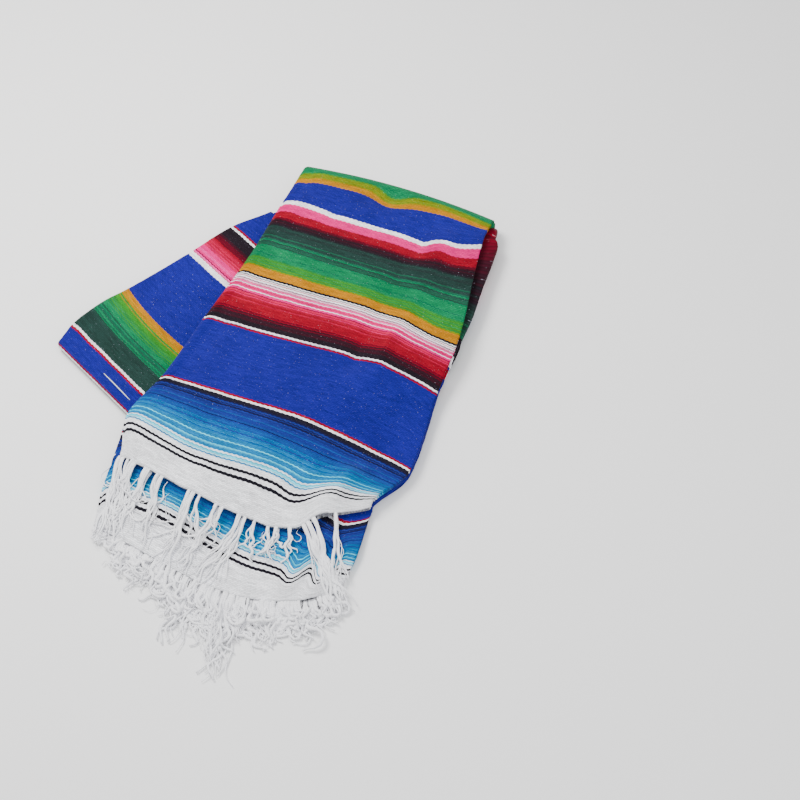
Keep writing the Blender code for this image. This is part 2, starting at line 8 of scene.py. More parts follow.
import logging
import math
import random
from collections.abc import Callable
from dataclasses import dataclass
from enum import Enum

import bpy
import numpy as np
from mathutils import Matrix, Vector, noise


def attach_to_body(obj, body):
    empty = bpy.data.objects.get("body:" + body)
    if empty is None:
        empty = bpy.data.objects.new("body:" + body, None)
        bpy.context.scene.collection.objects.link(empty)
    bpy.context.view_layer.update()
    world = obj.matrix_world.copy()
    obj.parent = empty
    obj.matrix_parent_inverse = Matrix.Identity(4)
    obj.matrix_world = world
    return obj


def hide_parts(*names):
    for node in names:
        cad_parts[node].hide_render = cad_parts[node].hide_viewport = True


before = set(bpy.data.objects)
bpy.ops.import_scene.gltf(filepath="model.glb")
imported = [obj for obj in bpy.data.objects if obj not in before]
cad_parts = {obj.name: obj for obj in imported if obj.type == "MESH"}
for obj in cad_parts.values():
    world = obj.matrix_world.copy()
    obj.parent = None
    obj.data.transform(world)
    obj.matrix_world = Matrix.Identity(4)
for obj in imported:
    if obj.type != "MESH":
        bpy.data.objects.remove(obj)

Socket = bpy.types.NodeSocket
LOG = logging.getLogger("serape")
OUTLINE_MIDDLE = np.array([-0.0006, -0.0112])
UP = np.array([0.0, 0.0, 1.0])


@dataclass(frozen=True)
class StackSizes:
    """Sizes of the folded stack.

    Args:
        ply: Thickness of one ply.
        ply_share: Share of it that the plies in view take.
        strip: Thickness of the strip of four plies.
        pair: Thickness of two strips.
        long_roll: Radius of the lengthwise folds.
        ramp: Width of the slope beside the packet.
        outer_radius: Radius of the outer fold.
        middle_radius: Radius of the middle fold.
        outer_underlap: How far the top ply goes on beneath the outer fold.
        middle_underlap: How far the left one goes on beneath the middle fold.
        lower_underlap: How far the lower one goes on beneath the top hem.
        calm: Reach over which creases fade into a fold.
        clear: Room between a ply in view and the plies beneath.
    """

    ply: float = 0.0020
    ply_share: float = 0.9
    strip: float = 0.0090
    pair: float = 0.0180
    long_roll: float = 0.0045
    ramp: float = 0.110
    outer_radius: float = 0.0180
    middle_radius: float = 0.0090
    outer_underlap: float = 0.015
    middle_underlap: float = 0.012
    lower_underlap: float = 0.022
    calm: float = 0.02
    clear: float = 0.0004


SIZES = StackSizes()

# A row for each stripe line across the top stretch, from its hem to the outer fold:
# station, left x, left y, right x, right y, bow at one third, bow at two thirds
TOP_ROWS = {
    "hem": (0.000, -0.191, -0.102, 0.118, -0.170, -0.027, -0.043),
    "black lines": (0.044, -0.180, -0.057, 0.121, -0.158, -0.012, -0.017),
    "lower red line": (0.131, -0.139, 0.006, 0.164, -0.118, 0.004, 0.009),
    "upper red line": (0.231, -0.094, 0.095, 0.198, -0.015, 0.000, 0.007),
    "thin black line": (0.312, -0.053, 0.172, 0.226, 0.058, -0.001, 0.001),
    "red stripe": (0.419, -0.012, 0.266, 0.254, 0.180, -0.003, -0.010),
    "white stripe": (0.437, -0.004, 0.284, 0.260, 0.204, -0.002, -0.014),
    "yellow stripe": (0.479, 0.010, 0.316, 0.268, 0.227, 0.005, 0.002),
    "fold": (0.495, 0.017, 0.332, 0.273, 0.236, 0.009, 0.009),
}

# The lower strip, from its own hem to where the top hem lies on it, same columns
LOWER_ROWS = {
    "hem": (0.000, -0.205, -0.186, 0.082, -0.267, -0.022, -0.034),
    "black lines": (0.041, -0.202, -0.146, 0.100, -0.230, -0.012, -0.034),
    "under the top hem": (0.092, -0.191, -0.102, 0.118, -0.170, -0.027, -0.043),
}

# The packet beneath, from the middle fold at the left to the outer fold, same columns
PACKET_ROWS = {
    "middle fold": (0.000, -0.279, 0.070, -0.081, -0.126, 0.000, 0.000),
    "white line": (0.022, -0.268, 0.092, -0.066, -0.112, 0.000, 0.000),
    "dark green": (0.052, -0.244, 0.118, -0.043, -0.096, -0.004, 0.000),
    "yellow stripe": (0.112, -0.203, 0.148, 0.003, -0.060, -0.009, -0.003),
    "white stripe": (0.205, -0.131, 0.204, 0.075, -0.008, 0.000, 0.000),
    "dark line": (0.277, -0.076, 0.250, 0.132, 0.036, 0.000, 0.000),
    "shoulder": (0.340, -0.018, 0.280, 0.222, 0.078, 0.000, 0.000),
    "right bulge": (0.400, 0.004, 0.301, 0.258, 0.150, 0.004, 0.004),
    "under the fold": (0.455, 0.010, 0.313, 0.266, 0.217, 0.009, 0.009),
    "outer fold": (0.475, 0.017, 0.332, 0.273, 0.236, 0.009, 0.009),
}

# Length of the cloth from a hem to its middle fold
HALF_LENGTH = 1.053
# How much lower the hidden plies stay where the top hem waves
TOP_CLEARANCE = 0.0009
# The lower strip is gathered at the right: extra share of cloth, and where across it begins
GATHER, GATHER_FROM, GATHER_OVER = 0.52, 0.70, 0.30
# Where the right edges of the lower plies show past the top one: station, reach
PEEK_ROWS = {
    "hem": (0.000, 0.000),
    "blue band": (0.250, 0.000),
    "black line": (0.320, 0.003),
    "green": (0.360, 0.010),
    "white stripe": (0.437, 0.020),
    "fold": (0.495, 0.009),
}

# Distance from its hem along the strip beneath, at stations of the top stretch; past the black line it jumps
# on to dark stripes, painted shade on the plies that peek out under the top one
BENEATH_RUN = {
    "hem": (0.000, 0.092),
    "blue band starts": (0.045, 0.150),
    "blue band ends": (0.235, 0.226),
    "black line": (0.3170, 0.240),
    "dark green": (0.3172, 0.535),
    "white stripe": (0.437, 0.592),
    "fold": (0.495, 0.606),
}


@dataclass(frozen=True)
class Crease:
    """One soft ridge or trough along a line, with tapered ends.

    Args:
        start: Plan point where it begins.
        end: Plan point where it ends.
        width: Half width of the soft profile.
        height: Height of the ridge, negative for a trough.
        bend: How far its middle is off the straight line.
        taper: Share of the length over which each end fades, 0 for blunt ends.
    """

    start: tuple[float, float]
    end: tuple[float, float]
    width: float
    height: float
    bend: float = 0.0
    taper: float = 0.35

    def at(self, plan: np.ndarray) -> np.ndarray:
        """Height that it adds at plan points.

        Args:
            plan: Array of plan points, shape (..., 2).
        Returns:
            Heights, shape (...).
        """
        start, end = np.array(self.start), np.array(self.end)
        run = end - start
        length = np.linalg.norm(run)
        along = (plan - start) @ run / length**2
        side = (plan - start) @ np.array([-run[1], run[0]]) / length
        t = np.clip(along, 0, 1)
        side = side - self.bend * 4 * t * (1 - t)
        past = (along - t) * length
        fall = np.exp(-(side**2 + past**2) / self.width**2)
        if self.taper:
            fall = fall * smooth(t / self.taper) * smooth((1 - t) / self.taper)
        return self.height * fall


SHARED_CREASES = (
    Crease((0.216, 0.215), (0.120, 0.000), 0.012, 0.0030, taper=0),
    Crease((0.180, 0.225), (0.090, 0.020), 0.014, -0.0030, taper=0),
    Crease((0.020, 0.255), (-0.120, -0.010), 0.012, -0.0025, taper=0),
)
TOP_CREASES = (
    Crease((0.052, -0.176), (0.092, -0.128), 0.016, 0.0070, taper=0),
    Crease((0.092, -0.128), (0.128, -0.150), 0.014, 0.0045, taper=0),
    Crease((0.205, 0.240), (0.150, 0.130), 0.009, 0.0022, 0.006),
    Crease((0.150, 0.080), (0.128, 0.010), 0.007, 0.0026, -0.004),
    Crease((0.108, 0.070), (0.085, 0.005), 0.008, -0.0022, 0.003),
    Crease((0.075, 0.300), (0.045, 0.215), 0.010, -0.0016, 0.004),
    Crease((0.120, 0.290), (0.100, 0.232), 0.011, 0.0018, 0.0),
    Crease((0.020, 0.180), (0.000, 0.090), 0.010, 0.0014, 0.004),
    Crease((0.000, 0.060), (-0.020, 0.000), 0.008, -0.0016, -0.003),
    Crease((0.060, 0.050), (0.030, -0.030), 0.011, 0.0015, 0.005),
    Crease((0.165, 0.020), (0.120, -0.060), 0.008, 0.0018, 0.004),
    Crease((-0.050, -0.020), (-0.100, -0.060), 0.010, -0.0013, 0.004),
    Crease((0.010, -0.120), (0.040, -0.170), 0.008, 0.0030, 0.004),
    Crease((-0.020, -0.130), (0.012, -0.178), 0.007, -0.0024, 0.003),
    Crease((-0.085, -0.100), (-0.070, -0.146), 0.007, 0.0016, 0.002),
    Crease((-0.140, -0.075), (-0.130, -0.118), 0.007, 0.0014, -0.002),
    Crease((0.075, -0.150), (0.112, -0.166), 0.007, -0.0042, 0.002),
)
LOWER_CREASES = (
    Crease((0.024, -0.262), (0.062, -0.206), 0.012, 0.0050, taper=0),
    Crease((0.054, -0.268), (0.092, -0.215), 0.012, 0.0045, taper=0),
    Crease((0.040, -0.262), (0.074, -0.208), 0.005, -0.0036, 0.002),
    Crease((-0.010, -0.250), (0.020, -0.200), 0.006, 0.0022, 0.002),
    Crease((-0.120, -0.200), (-0.105, -0.150), 0.007, 0.0014, 0.002),
)
LEFT_CREASES = (
    Crease((-0.250, 0.080), (-0.160, 0.000), 0.010, -0.0010, 0.004),
    Crease((-0.190, 0.120), (-0.110, 0.050), 0.012, 0.0012, 0.005),
    Crease((-0.150, 0.170), (-0.080, 0.110), 0.010, -0.0012, -0.004),
    Crease((-0.090, 0.215), (-0.040, 0.160), 0.009, 0.0012, 0.003),
)


@dataclass(frozen=True)
class Pull:
    """A place where the stripes run off their even course.

    Args:
        station: Station of its middle.
        across: Share across of its middle.
        along: Reach along the strip.
        aside: Reach across, as a share.
        shift: How far the stripes move towards the hem.
    """

    station: float
    across: float
    along: float
    aside: float
    shift: float

    def at(self, station: float, across: np.ndarray) -> np.ndarray:
        """Shift of the stripes."""
        fall = ((station - self.station) / self.along) ** 2
        return self.shift * np.exp(-fall - ((across - self.across) / self.aside) ** 2)


TOP_PULLS = (
    Pull(0.482, 0.50, 0.022, 0.085, 0.0115),
    Pull(0.482, 0.78, 0.020, 0.130, -0.0035),
    Pull(0.482, 0.05, 0.020, 0.040, 0.0030),
    Pull(0.430, 0.28, 0.030, 0.240, 0.0060),
    Pull(0.425, 0.74, 0.022, 0.035, 0.0045),
    Pull(0.425, 0.82, 0.022, 0.050, -0.0035),
    Pull(0.305, 0.15, 0.050, 0.350, 0.0070),
    Pull(0.300, 0.94, 0.045, 0.200, 0.0120),
    Pull(0.044, 0.30, 0.032, 0.200, 0.0090),
    Pull(0.040, 0.72, 0.030, 0.060, 0.0080),
)
LOWER_PULLS = (
    Pull(0.040, 0.800, 0.030, 0.030, 0.0110),
    Pull(0.040, 0.855, 0.030, 0.024, -0.0150),
    Pull(0.040, 0.905, 0.030, 0.022, 0.0120),
    Pull(0.040, 0.960, 0.030, 0.030, -0.0110),
)


def smooth(value: np.ndarray) -> np.ndarray:
    """Soft step from 0 to 1."""
    value = np.clip(value, 0.0, 1.0)
    return value * value * (3 - 2 * value)


def creased(plan: np.ndarray, *tables: tuple[Crease, ...]) -> np.ndarray:
    """Height that tables of creases add at plan points."""
    return sum((crease.at(plan) for table in tables for crease in table), np.zeros(plan.shape[:-1]))


def drift(place: float, pitch: float, lane: float = 0.0, level: float = 0.0) -> float:
    """Smooth random value between -1 and 1 at a place along a line, with about pitch swells a metre."""
    return noise.noise(Vector((place * pitch, lane, level)))


@dataclass(frozen=True)
class Swells:
    """Gentle uneven height of the cloth: the swells' size and height, and their level in the noise."""

    scale: float
    height: float
    level: float = 0.0

    def at(self, plan: np.ndarray) -> np.ndarray:
        """Heights at plan points.

        Args:
            plan: Plan points, shape (..., 2).
        Returns:
            Heights, shape (...).
        """
        flat = plan.reshape(-1, 2) / self.scale
        values = [noise.noise(Vector((x, y, self.level))) for x, y in flat]
        return self.height * np.array(values).reshape(plan.shape[:-1])


TOP_SWELLS = Swells(0.035, 0.0011)
LOWER_SWELLS = Swells(0.03, 0.0005, 3.0)
LEFT_SWELLS = Swells(0.035, 0.0006, 7.0)


class Strip:
    """Plan of one strip: its two long edges and the bow of the stripes between them."""

    def __init__(self, rows: dict[str, tuple[float, ...]]) -> None:
        """Read the table.

        Args:
            rows: Station, left x and y, right x and y, and the two bows for each line.
        """
        table = np.array(list(rows.values()))
        self.stations = table[:, 0]
        self.columns = table[:, 1:]
        self.slopes = np.gradient(self.columns, self.stations, axis=0)

    @property
    def end(self) -> float:
        """Last station."""
        return float(self.stations[-1])

    def edges(self, station: float) -> tuple[np.ndarray, np.ndarray, np.ndarray]:
        """Left edge, right edge, and the two bows.

        Args:
            station: Distance along the strip.
        Returns:
            Left point, right point, bows.
        """
        at, values, slopes = self.stations, self.columns, self.slopes
        if station < at[0]:
            row = values[0] + slopes[0] * (station - at[0])
        elif station > at[-1]:
            row = values[-1] + slopes[-1] * (station - at[-1])
        else:
            i = int(np.clip(np.searchsorted(at, station) - 1, 0, len(at) - 2))
            span = at[i + 1] - at[i]
            t = (station - at[i]) / span
            row = (1 + 2 * t) * (1 - t) ** 2 * values[i] + t * (1 - t) ** 2 * span * slopes[i]
            row = row + t * t * (3 - 2 * t) * values[i + 1] + t * t * (t - 1) * span * slopes[i + 1]
        return row[0:2], row[2:4], row[4:6]

    def plan(self, station: float, across: np.ndarray) -> np.ndarray:
        """Plan points at a station.

        Args:
            station: Distance along the strip.
            across: Shares from 0 at the left edge to 1 at the right.
        Returns:
            Plan points, shape (n, 2).
        """
        left, right, bows = self.edges(station)
        across = np.asarray(across)[..., None]
        along = (right - left) / np.linalg.norm(right - left)
        ahead = np.array([-along[1], along[0]])
        # Cubics that reach 1 at one third and at two thirds across, and 0 at the other's place
        first = 13.5 * across * (across - 2 / 3) * (across - 1)
        second = -13.5 * across * (across - 1 / 3) * (across - 1)
        return left + (right - left) * across + ahead * (bows[0] * first + bows[1] * second)

    def width(self, station: float) -> float:
        """Straight distance between the edges."""
        left, right, _ = self.edges(station)
        return float(np.linalg.norm(right - left))

    def outward(self, station: float, sign: int) -> np.ndarray:
        """Plan direction square to a fold line.

        Args:
            station: Where the fold line is.
            sign: 1 towards the far end, -1 towards the near one.
        Returns:
            Unit plan direction.
        """
        left, right, _ = self.edges(station)
        along = (right - left) / np.linalg.norm(right - left)
        return sign * np.array([-along[1], along[0]])


TOP, LOWER, PACKET = Strip(TOP_ROWS), Strip(LOWER_ROWS), Strip(PACKET_ROWS)
OUTER_WAY = TOP.outward(TOP.end, 1)
MIDDLE_WAY = PACKET.outward(0.0, -1)


@dataclass(frozen=True)
class TopHem:
    """How the top hem runs: pushed up at the right, tucked in at the left, and waving a little."""

    push: float = 0.017
    push_from: float = 0.74
    push_over: float = 0.11
    push_reach: float = 0.090
    wave: float = 0.0022
    wave_pitch: float = 14
    wave_reach: float = 0.024
    tuck: float = 0.011
    tuck_over: float = 0.13
    tuck_reach: float = 0.055

    def plan(self, station: float, across: np.ndarray) -> np.ndarray:
        """Plan points of the top strip, with the pushed and waving hem.

        Args:
            station: Distance along the strip.
            across: Shares across it.
        Returns:
            Plan points, shape (n, 2).
        """
        plan = TOP.plan(station, across)
        if station > self.push_reach:
            return plan
        step = 0.01
        ahead = (TOP.plan(station + step, across) - plan) / step
        push = self.push * smooth((across - self.push_from) / self.push_over)
        waves = np.array([drift(share, self.wave_pitch, 3.3, 0.5) for share in across])
        shift = push * (1 - smooth(station / self.push_reach))
        shift = shift + self.wave * waves * (1 - smooth(station / self.wave_reach))
        side = TOP.plan(station, np.array([0.0, 1.0]))
        right = (side[1] - side[0]) / np.linalg.norm(side[1] - side[0])
        tuck = self.tuck * (1 - smooth(across / self.tuck_over))
        tuck = tuck * (1 - smooth(station / self.tuck_reach))
        return plan + ahead * shift[:, None] + right * tuck[:, None]


TOP_HEM = TopHem()


class Outline:
    """A closed plan outline."""

    def __init__(self, points: np.ndarray) -> None:
        """Keep the corners."""
        self.starts = np.asarray(points)
        self.ends = np.roll(self.starts, -1, axis=0)

    def holds(self, plan: np.ndarray) -> np.ndarray:
        """Whether plan points are inside.

        Args:
            plan: Plan points, shape (..., 2).
        Returns:
            Booleans, shape (...).
        """
        inside = np.zeros(plan.shape[:-1], bool)
        for (x0, y0), (x1, y1) in zip(self.starts, self.ends):
            if y0 == y1:
                continue
            spans = (y0 > plan[..., 1]) != (y1 > plan[..., 1])
            inside ^= spans & (plan[..., 0] < x0 + (plan[..., 1] - y0) * (x1 - x0) / (y1 - y0))
        return inside

    def distance(self, plan: np.ndarray) -> np.ndarray:
        """Distance of plan points from the outline.

        Args:
            plan: Plan points, shape (..., 2).
        Returns:
            Distances, shape (...).
        """
        nearest = np.full(plan.shape[:-1], np.inf)
        for start, end in zip(self.starts, self.ends):
            run = end - start
            t = np.clip((plan - start) @ run / (run @ run), 0, 1)
            nearest = np.minimum(nearest, np.linalg.norm(plan - start - t[..., None] * run, axis=-1))
        return nearest


def strip_outline(strip: Strip, first: float, last: float, count: int, clear: float = 0.0) -> Outline:
    """Outline of a stretch of a strip.

    Args:
        strip: The strip.
        first: Station where it starts.
        last: Station where it ends.
        count: How many stations to use.
        clear: Extra at the left edge.
    Returns:
        The outline.
    """
    left, right = [], []
    for station in np.linspace(first, last, count):
        edge, far, _ = strip.edges(station)
        left.append(edge - (far - edge) / np.linalg.norm(far - edge) * clear)
        right.append(far)
    hem = list(strip.plan(first, np.linspace(1, 0, 9)[1:-1]))
    return Outline(np.array(left + right[::-1] + hem))


PACKET_OUTLINE = strip_outline(PACKET, -SIZES.middle_radius, PACKET.end + SIZES.outer_radius, 16)
UPPER_OUTLINE = strip_outline(TOP, -0.05, TOP.end + SIZES.outer_radius, 30, 0.0006)
LOWER_OUTLINE = strip_outline(LOWER, -0.006, LOWER.end + 0.02, 10)


def support(plan: np.ndarray) -> np.ndarray:
    """Height beneath the upper strips: the packet, or a slope beside it."""
    beside = SIZES.pair * smooth(1 - PACKET_OUTLINE.distance(plan) / SIZES.ramp)
    return np.where(PACKET_OUTLINE.holds(plan), SIZES.pair, beside)


def peek(station: float) -> float:
    """How far the lower plies reach past the right edge of the top stretch."""
    table = np.array(list(PEEK_ROWS.values()))
    return float(np.interp(station, table[:, 0], table[:, 1]))


class Yarn(Enum):
    """Dyed yarns of the cloth, as display colours from 0 to 255."""

    WHITE = (246, 247, 252)
    BLACK = (20, 18, 27)
    PALE_TURQUOISE = (70, 212, 240)
    TURQUOISE = (0, 112, 168)
    SEA_BLUE = (0, 76, 150)
    DULL_BLUE = (27, 44, 128)
    NAVY = (18, 17, 58)
    CHARCOAL = (25, 22, 36)
    BLUE = (26, 25, 128)
    RED = (142, 0, 30)
    DARK_RED = (94, 0, 26)
    MAROON = (56, 9, 26)
    NIGHT = (29, 20, 29)
    ROSE = (196, 0, 70)
    PINK = (226, 16, 120)
    PALE_PINK = (246, 84, 172)
    YELLOW = (178, 116, 0)
    OLIVE = (116, 124, 0)
    LEAF = (44, 126, 32)
    GREEN = (0, 114, 70)
    FOREST = (18, 92, 66)
    MOSS = (29, 54, 49)

    def linear(self) -> tuple[float, float, float, float]:
        """Scene colour."""
        parts = [c / 255 for c in self.value]
        return (*(c / 12.92 if c <= 0.04045 else ((c + 0.055) / 1.055) ** 2.4 for c in parts), 1.0)


Y = Yarn
# Ground colours along the cloth from a hem to its middle: distance in mm, yarn.
# Two rows at nearly the same distance make a hard change, others a gradual one.
GROUND = (
    (0, Y.WHITE), (51, Y.WHITE), (56, Y.PALE_TURQUOISE), (61, Y.TURQUOISE), (79, Y.TURQUOISE),
    (90, Y.SEA_BLUE), (101, Y.DULL_BLUE), (112, Y.DULL_BLUE), (119, Y.NAVY), (124, Y.CHARCOAL),
    (131, Y.CHARCOAL), (131.2, Y.BLUE), (231, Y.BLUE), (231.2, Y.NIGHT), (241, Y.NIGHT),
    (247, Y.MAROON), (253, Y.DARK_RED), (260, Y.RED), (270, Y.RED), (277, Y.ROSE),
    (285, Y.PINK), (295, Y.PINK), (300, Y.PALE_PINK), (304, Y.WHITE), (312, Y.WHITE),
    (312.2, Y.YELLOW), (321, Y.YELLOW), (327, Y.OLIVE), (332, Y.LEAF), (339, Y.GREEN),
    (356, Y.GREEN), (364, Y.FOREST), (373, Y.MOSS), (390, Y.MOSS), (398, Y.NIGHT),
    (403, Y.MAROON), (407.8, Y.DARK_RED), (408.2, Y.RED), (418.8, Y.RED), (419.2, Y.PINK),
    (430.8, Y.PINK), (431.2, Y.WHITE), (436.8, Y.WHITE), (437.2, Y.BLUE), (478.8, Y.BLUE),
    (479.2, Y.YELLOW), (485, Y.YELLOW), (488, Y.OLIVE), (492, Y.LEAF), (500, Y.GREEN),
    (518, Y.GREEN), (530, Y.FOREST), (544, Y.MOSS), (562, Y.NIGHT), (580, Y.MAROON),
    (596, Y.DARK_RED), (608, Y.RED), (620, Y.ROSE), (631, Y.PINK), (640, Y.PALE_PINK),
    (645, Y.WHITE), (652, Y.WHITE), (652.2, Y.BLUE), (775.8, Y.BLUE), (776, Y.NIGHT),
    (790, Y.NIGHT), (797, Y.MAROON), (803, Y.DARK_RED), (809, Y.RED), (818, Y.ROSE),
    (824, Y.PINK), (833, Y.PINK), (838, Y.PALE_PINK), (841, Y.WHITE), (847.8, Y.WHITE),
    (848.2, Y.BLUE), (940.8, Y.BLUE), (941.2, Y.YELLOW), (949, Y.YELLOW), (955, Y.OLIVE),
    (961, Y.LEAF), (969, Y.LEAF), (978, Y.GREEN), (988, Y.GREEN), (997, Y.FOREST), (1007, Y.MOSS),
    (1031.8, Y.MOSS), (1032, Y.BLUE), (1063, Y.BLUE), (1063.2, Y.MOSS), (1100, Y.MOSS),
)
# Thin woven lines: middle in mm, width in mm, yarn
LINES = (
    (36, 3.6, Y.BLACK), (44, 3.6, Y.BLACK), (52.5, 1.8, Y.TURQUOISE), (58.6, 1.6, Y.WHITE),
    (64.5, 1.3, Y.PALE_TURQUOISE), (71, 1.2, Y.PALE_TURQUOISE), (77, 1.2, Y.SEA_BLUE),
    (84, 1.4, Y.DULL_BLUE), (90, 1.2, Y.DULL_BLUE), (97, 1.3, Y.NAVY),
    (106, 1.2, Y.SEA_BLUE), (115, 1.8, Y.NAVY), (119.5, 1.8, Y.DULL_BLUE),
    (129.2, 3.0, Y.WHITE), (132.2, 2.6, Y.RED), (229.2, 2.6, Y.RED), (232.4, 3.0, Y.WHITE),
    (279, 1.1, Y.RED), (283.5, 1.1, Y.DARK_RED), (288, 1.1, Y.WHITE), (292, 1.1, Y.ROSE),
    (295.5, 1.2, Y.WHITE), (299, 1.0, Y.ROSE), (302.5, 1.0, Y.MAROON), (306, 1.0, Y.ROSE),
    (308.6, 0.9, Y.MAROON), (312, 2.8, Y.BLACK), (346, 1.1, Y.FOREST), (360, 1.3, Y.MOSS),
    (367, 1.2, Y.GREEN), (376, 1.1, Y.FOREST), (773.4, 2.6, Y.RED),
    (776.6, 3.0, Y.WHITE), (836, 1.3, Y.DARK_RED), (839.5, 1.2, Y.ROSE), (956, 1.1, Y.GREEN),
    (976, 1.1, Y.FOREST), (988, 1.4, Y.MOSS), (997, 1.2, Y.GREEN), (1001, 1.1, Y.GREEN),
    (1030.2, 3.0, Y.WHITE), (1033.4, 2.6, Y.RED), (1061.4, 2.6, Y.RED), (1065.2, 4.4, Y.WHITE),
)
# Stretches where the change is woven as mixed picks: start and end in mm, strength
MIXED = (
    (54, 126, 0.7), (235, 302, 0.9), (318, 407, 1.0), (486, 648, 1.0), (779, 840, 0.8),
    (945, 1028, 1.0),
)
# Distances in mm over which the mixing sets in and ends, and the room beside a run of lines
MIXED_RISE, MIXED_FALL, LINE_MARGIN = 8.0, 6.0, 4
# Most stops of a colour ramp, and the longest run in mm that keeps its thin lines sharp
RAMP_STOPS = 31
RAMP_REACH = 110.0


class Nodes:
    """Adds shader nodes to a tree with little writing."""

    def __init__(self, tree: bpy.types.NodeTree) -> None:
        """Keep the tree."""
        self.tree = tree

    def link(self, value: object, socket: Socket) -> None:
        """Feed a socket.

        Args:
            value: Output socket, or a constant.
            socket: Input socket.
        """
        if isinstance(value, Socket):
            self.tree.links.new(value, socket)
        elif value is not None:
            socket.default_value = value

    def add(self, kind: str, values: tuple, **settings: object) -> bpy.types.ShaderNode:
        """Add a node.

        Args:
            kind: Its kind.
            values: Output sockets or constants for its first inputs, None for one that is left alone.
            settings: Its settings.
        Returns:
            The node.
        """
        node = self.tree.nodes.new("ShaderNode" + kind)
        for label, setting in settings.items():
            setattr(node, label, setting)
        for value, socket in zip(values, node.inputs):
            self.link(value, socket)
        return node

    def math(self, operation: str, *values: object) -> Socket:
        """Result of an operation on one or two values."""
        return self.add("Math", values, operation=operation).outputs[0]

    def mix(self, share: object, first: object, second: object, blend: str = "MIX") -> Socket:
        """Two colours mixed, with a share of the second."""
        values = (share, None, None, None, None, None, first, second)
        return self.add("Mix", values, data_type="RGBA", blend_type=blend).outputs[2]

    def combine(self, x: object, y: object, z: object = 0.0) -> Socket:
        """Vector from three values."""
        return self.add("CombineXYZ", (x, y, z)).outputs[0]

    def noise(self, vector: object, scale: float, detail: float = 2.0, roughness: float = 0.5) -> Socket:
        """Smooth noise from 0 to 1 at a vector."""
        return self.add("TexNoise", (vector, None, scale, detail, roughness)).outputs[0]

    def white(self, value: object) -> Socket:
        """Random value from 0 to 1 for each input value."""
        return self.add("TexWhiteNoise", (None, value), noise_dimensions="1D").outputs[0]

    def remap(self, value: object, low: float, high: float, to_low: float, to_high: float) -> Socket:
        """Value brought from the range low to high into another, and kept in it."""
        return self.add("MapRange", (value, low, high, to_low, to_high)).outputs[0]

    def ramp(
        self, value: object, stops: list[tuple[float, tuple[float, ...]]], constant: bool = False
    ) -> bpy.types.ShaderNode:
        """Colour ramp.

        Args:
            value: Position.
            stops: Positions and colours.
            constant: Whether the colour holds until the next stop.
        Returns:
            The ramp node.
        """
        node = self.add("ValToRGB", (value,))
        ramp = node.color_ramp
        ramp.interpolation = "CONSTANT" if constant else "LINEAR"
        ramp.elements[0].position, ramp.elements[0].color = stops[0]
        ramp.elements[1].position, ramp.elements[1].color = stops[-1]
        for position, colour in stops[1:-1]:
            ramp.elements.new(position).color = colour
        return node


def joined_runs(rows: tuple) -> list[tuple]:
    """Rows in runs short enough for one ramp, each starting with the last row before it.

    Args:
        rows: The rows, with distances first.
    Returns:
        The runs.
    """
    runs, start = [], 0
    while start < len(rows) - 1:
        end = start + 1
        while end < len(rows) - 1 and end - start < RAMP_STOPS - 1:
            if rows[end + 1][0] - rows[start][0] > RAMP_REACH:
                break
            end += 1
        runs.append(rows[start:end + 1])
        start = end
    return runs


def separate_runs(rows: tuple) -> list[list]:
    """Rows in runs short enough for one ramp, with two stops for each row.

    Args:
        rows: The rows, with distances first.
    Returns:
        The runs.
    """
    runs: list[list] = [[]]
    for row in rows:
        first = runs[-1][0] if runs[-1] else row
        if row[0] - first[0] > RAMP_REACH or len(runs[-1]) >= RAMP_STOPS // 2:
            runs.append([])
        runs[-1].append(row)
    return runs


def new_group(name: str, inputs: dict[str, str], outputs: dict[str, str]) -> bpy.types.NodeTree:
    """Shader node group with its sockets.

    Args:
        name: Its name.
        inputs: Socket types by name.
        outputs: Socket types by name.
    Returns:
        The group.
    """
    group = bpy.data.node_groups.new(name, "ShaderNodeTree")
    for label, kind in inputs.items():
        group.interface.new_socket(label, in_out="INPUT", socket_type=kind)
    for label, kind in outputs.items():
        group.interface.new_socket(label, in_out="OUTPUT", socket_type=kind)
    group.nodes.new("NodeGroupInput")
    group.nodes.new("NodeGroupOutput")
    return group


@dataclass(frozen=True)
class Shade:
    """How a value darkens or lightens a colour: the value's range and the brightness at its ends."""

    low: float
    high: float
    dark: float
    light: float


STREAKS = Shade(0.25, 0.75, 0.70, 1.26)
# Painted shade in the hollows between the weft floats
PAINTED_HOLLOW_SHADE = Shade(0.0, 0.7, 0.66, 1.06)
# Broad random patches, a little lighter and darker
BROAD_PATCHES = Shade(0.3, 0.7, 0.88, 1.08)
FUZZ = Shade(0.2, 0.8, 0.78, 1.20)
# Painted shade in the grooves of the fringe yarn's twist
PAINTED_TWIST_SHADE = Shade(0.0, 0.6, 0.90, 1.0)


@dataclass(frozen=True)
class Finish:
    """A finish: its gloss, its sheen, and the strength and depth of its relief."""

    roughness: float
    specular: float
    sheen: float
    sheen_roughness: float
    bump: float
    relief: float


CLOTH_FINISH = Finish(0.92, 0.08, 0.05, 0.5, 0.75, 0.0005)
YARN_FINISH = Finish(0.8, 0.25, 0.25, 0.5, 0.5, 0.0002)


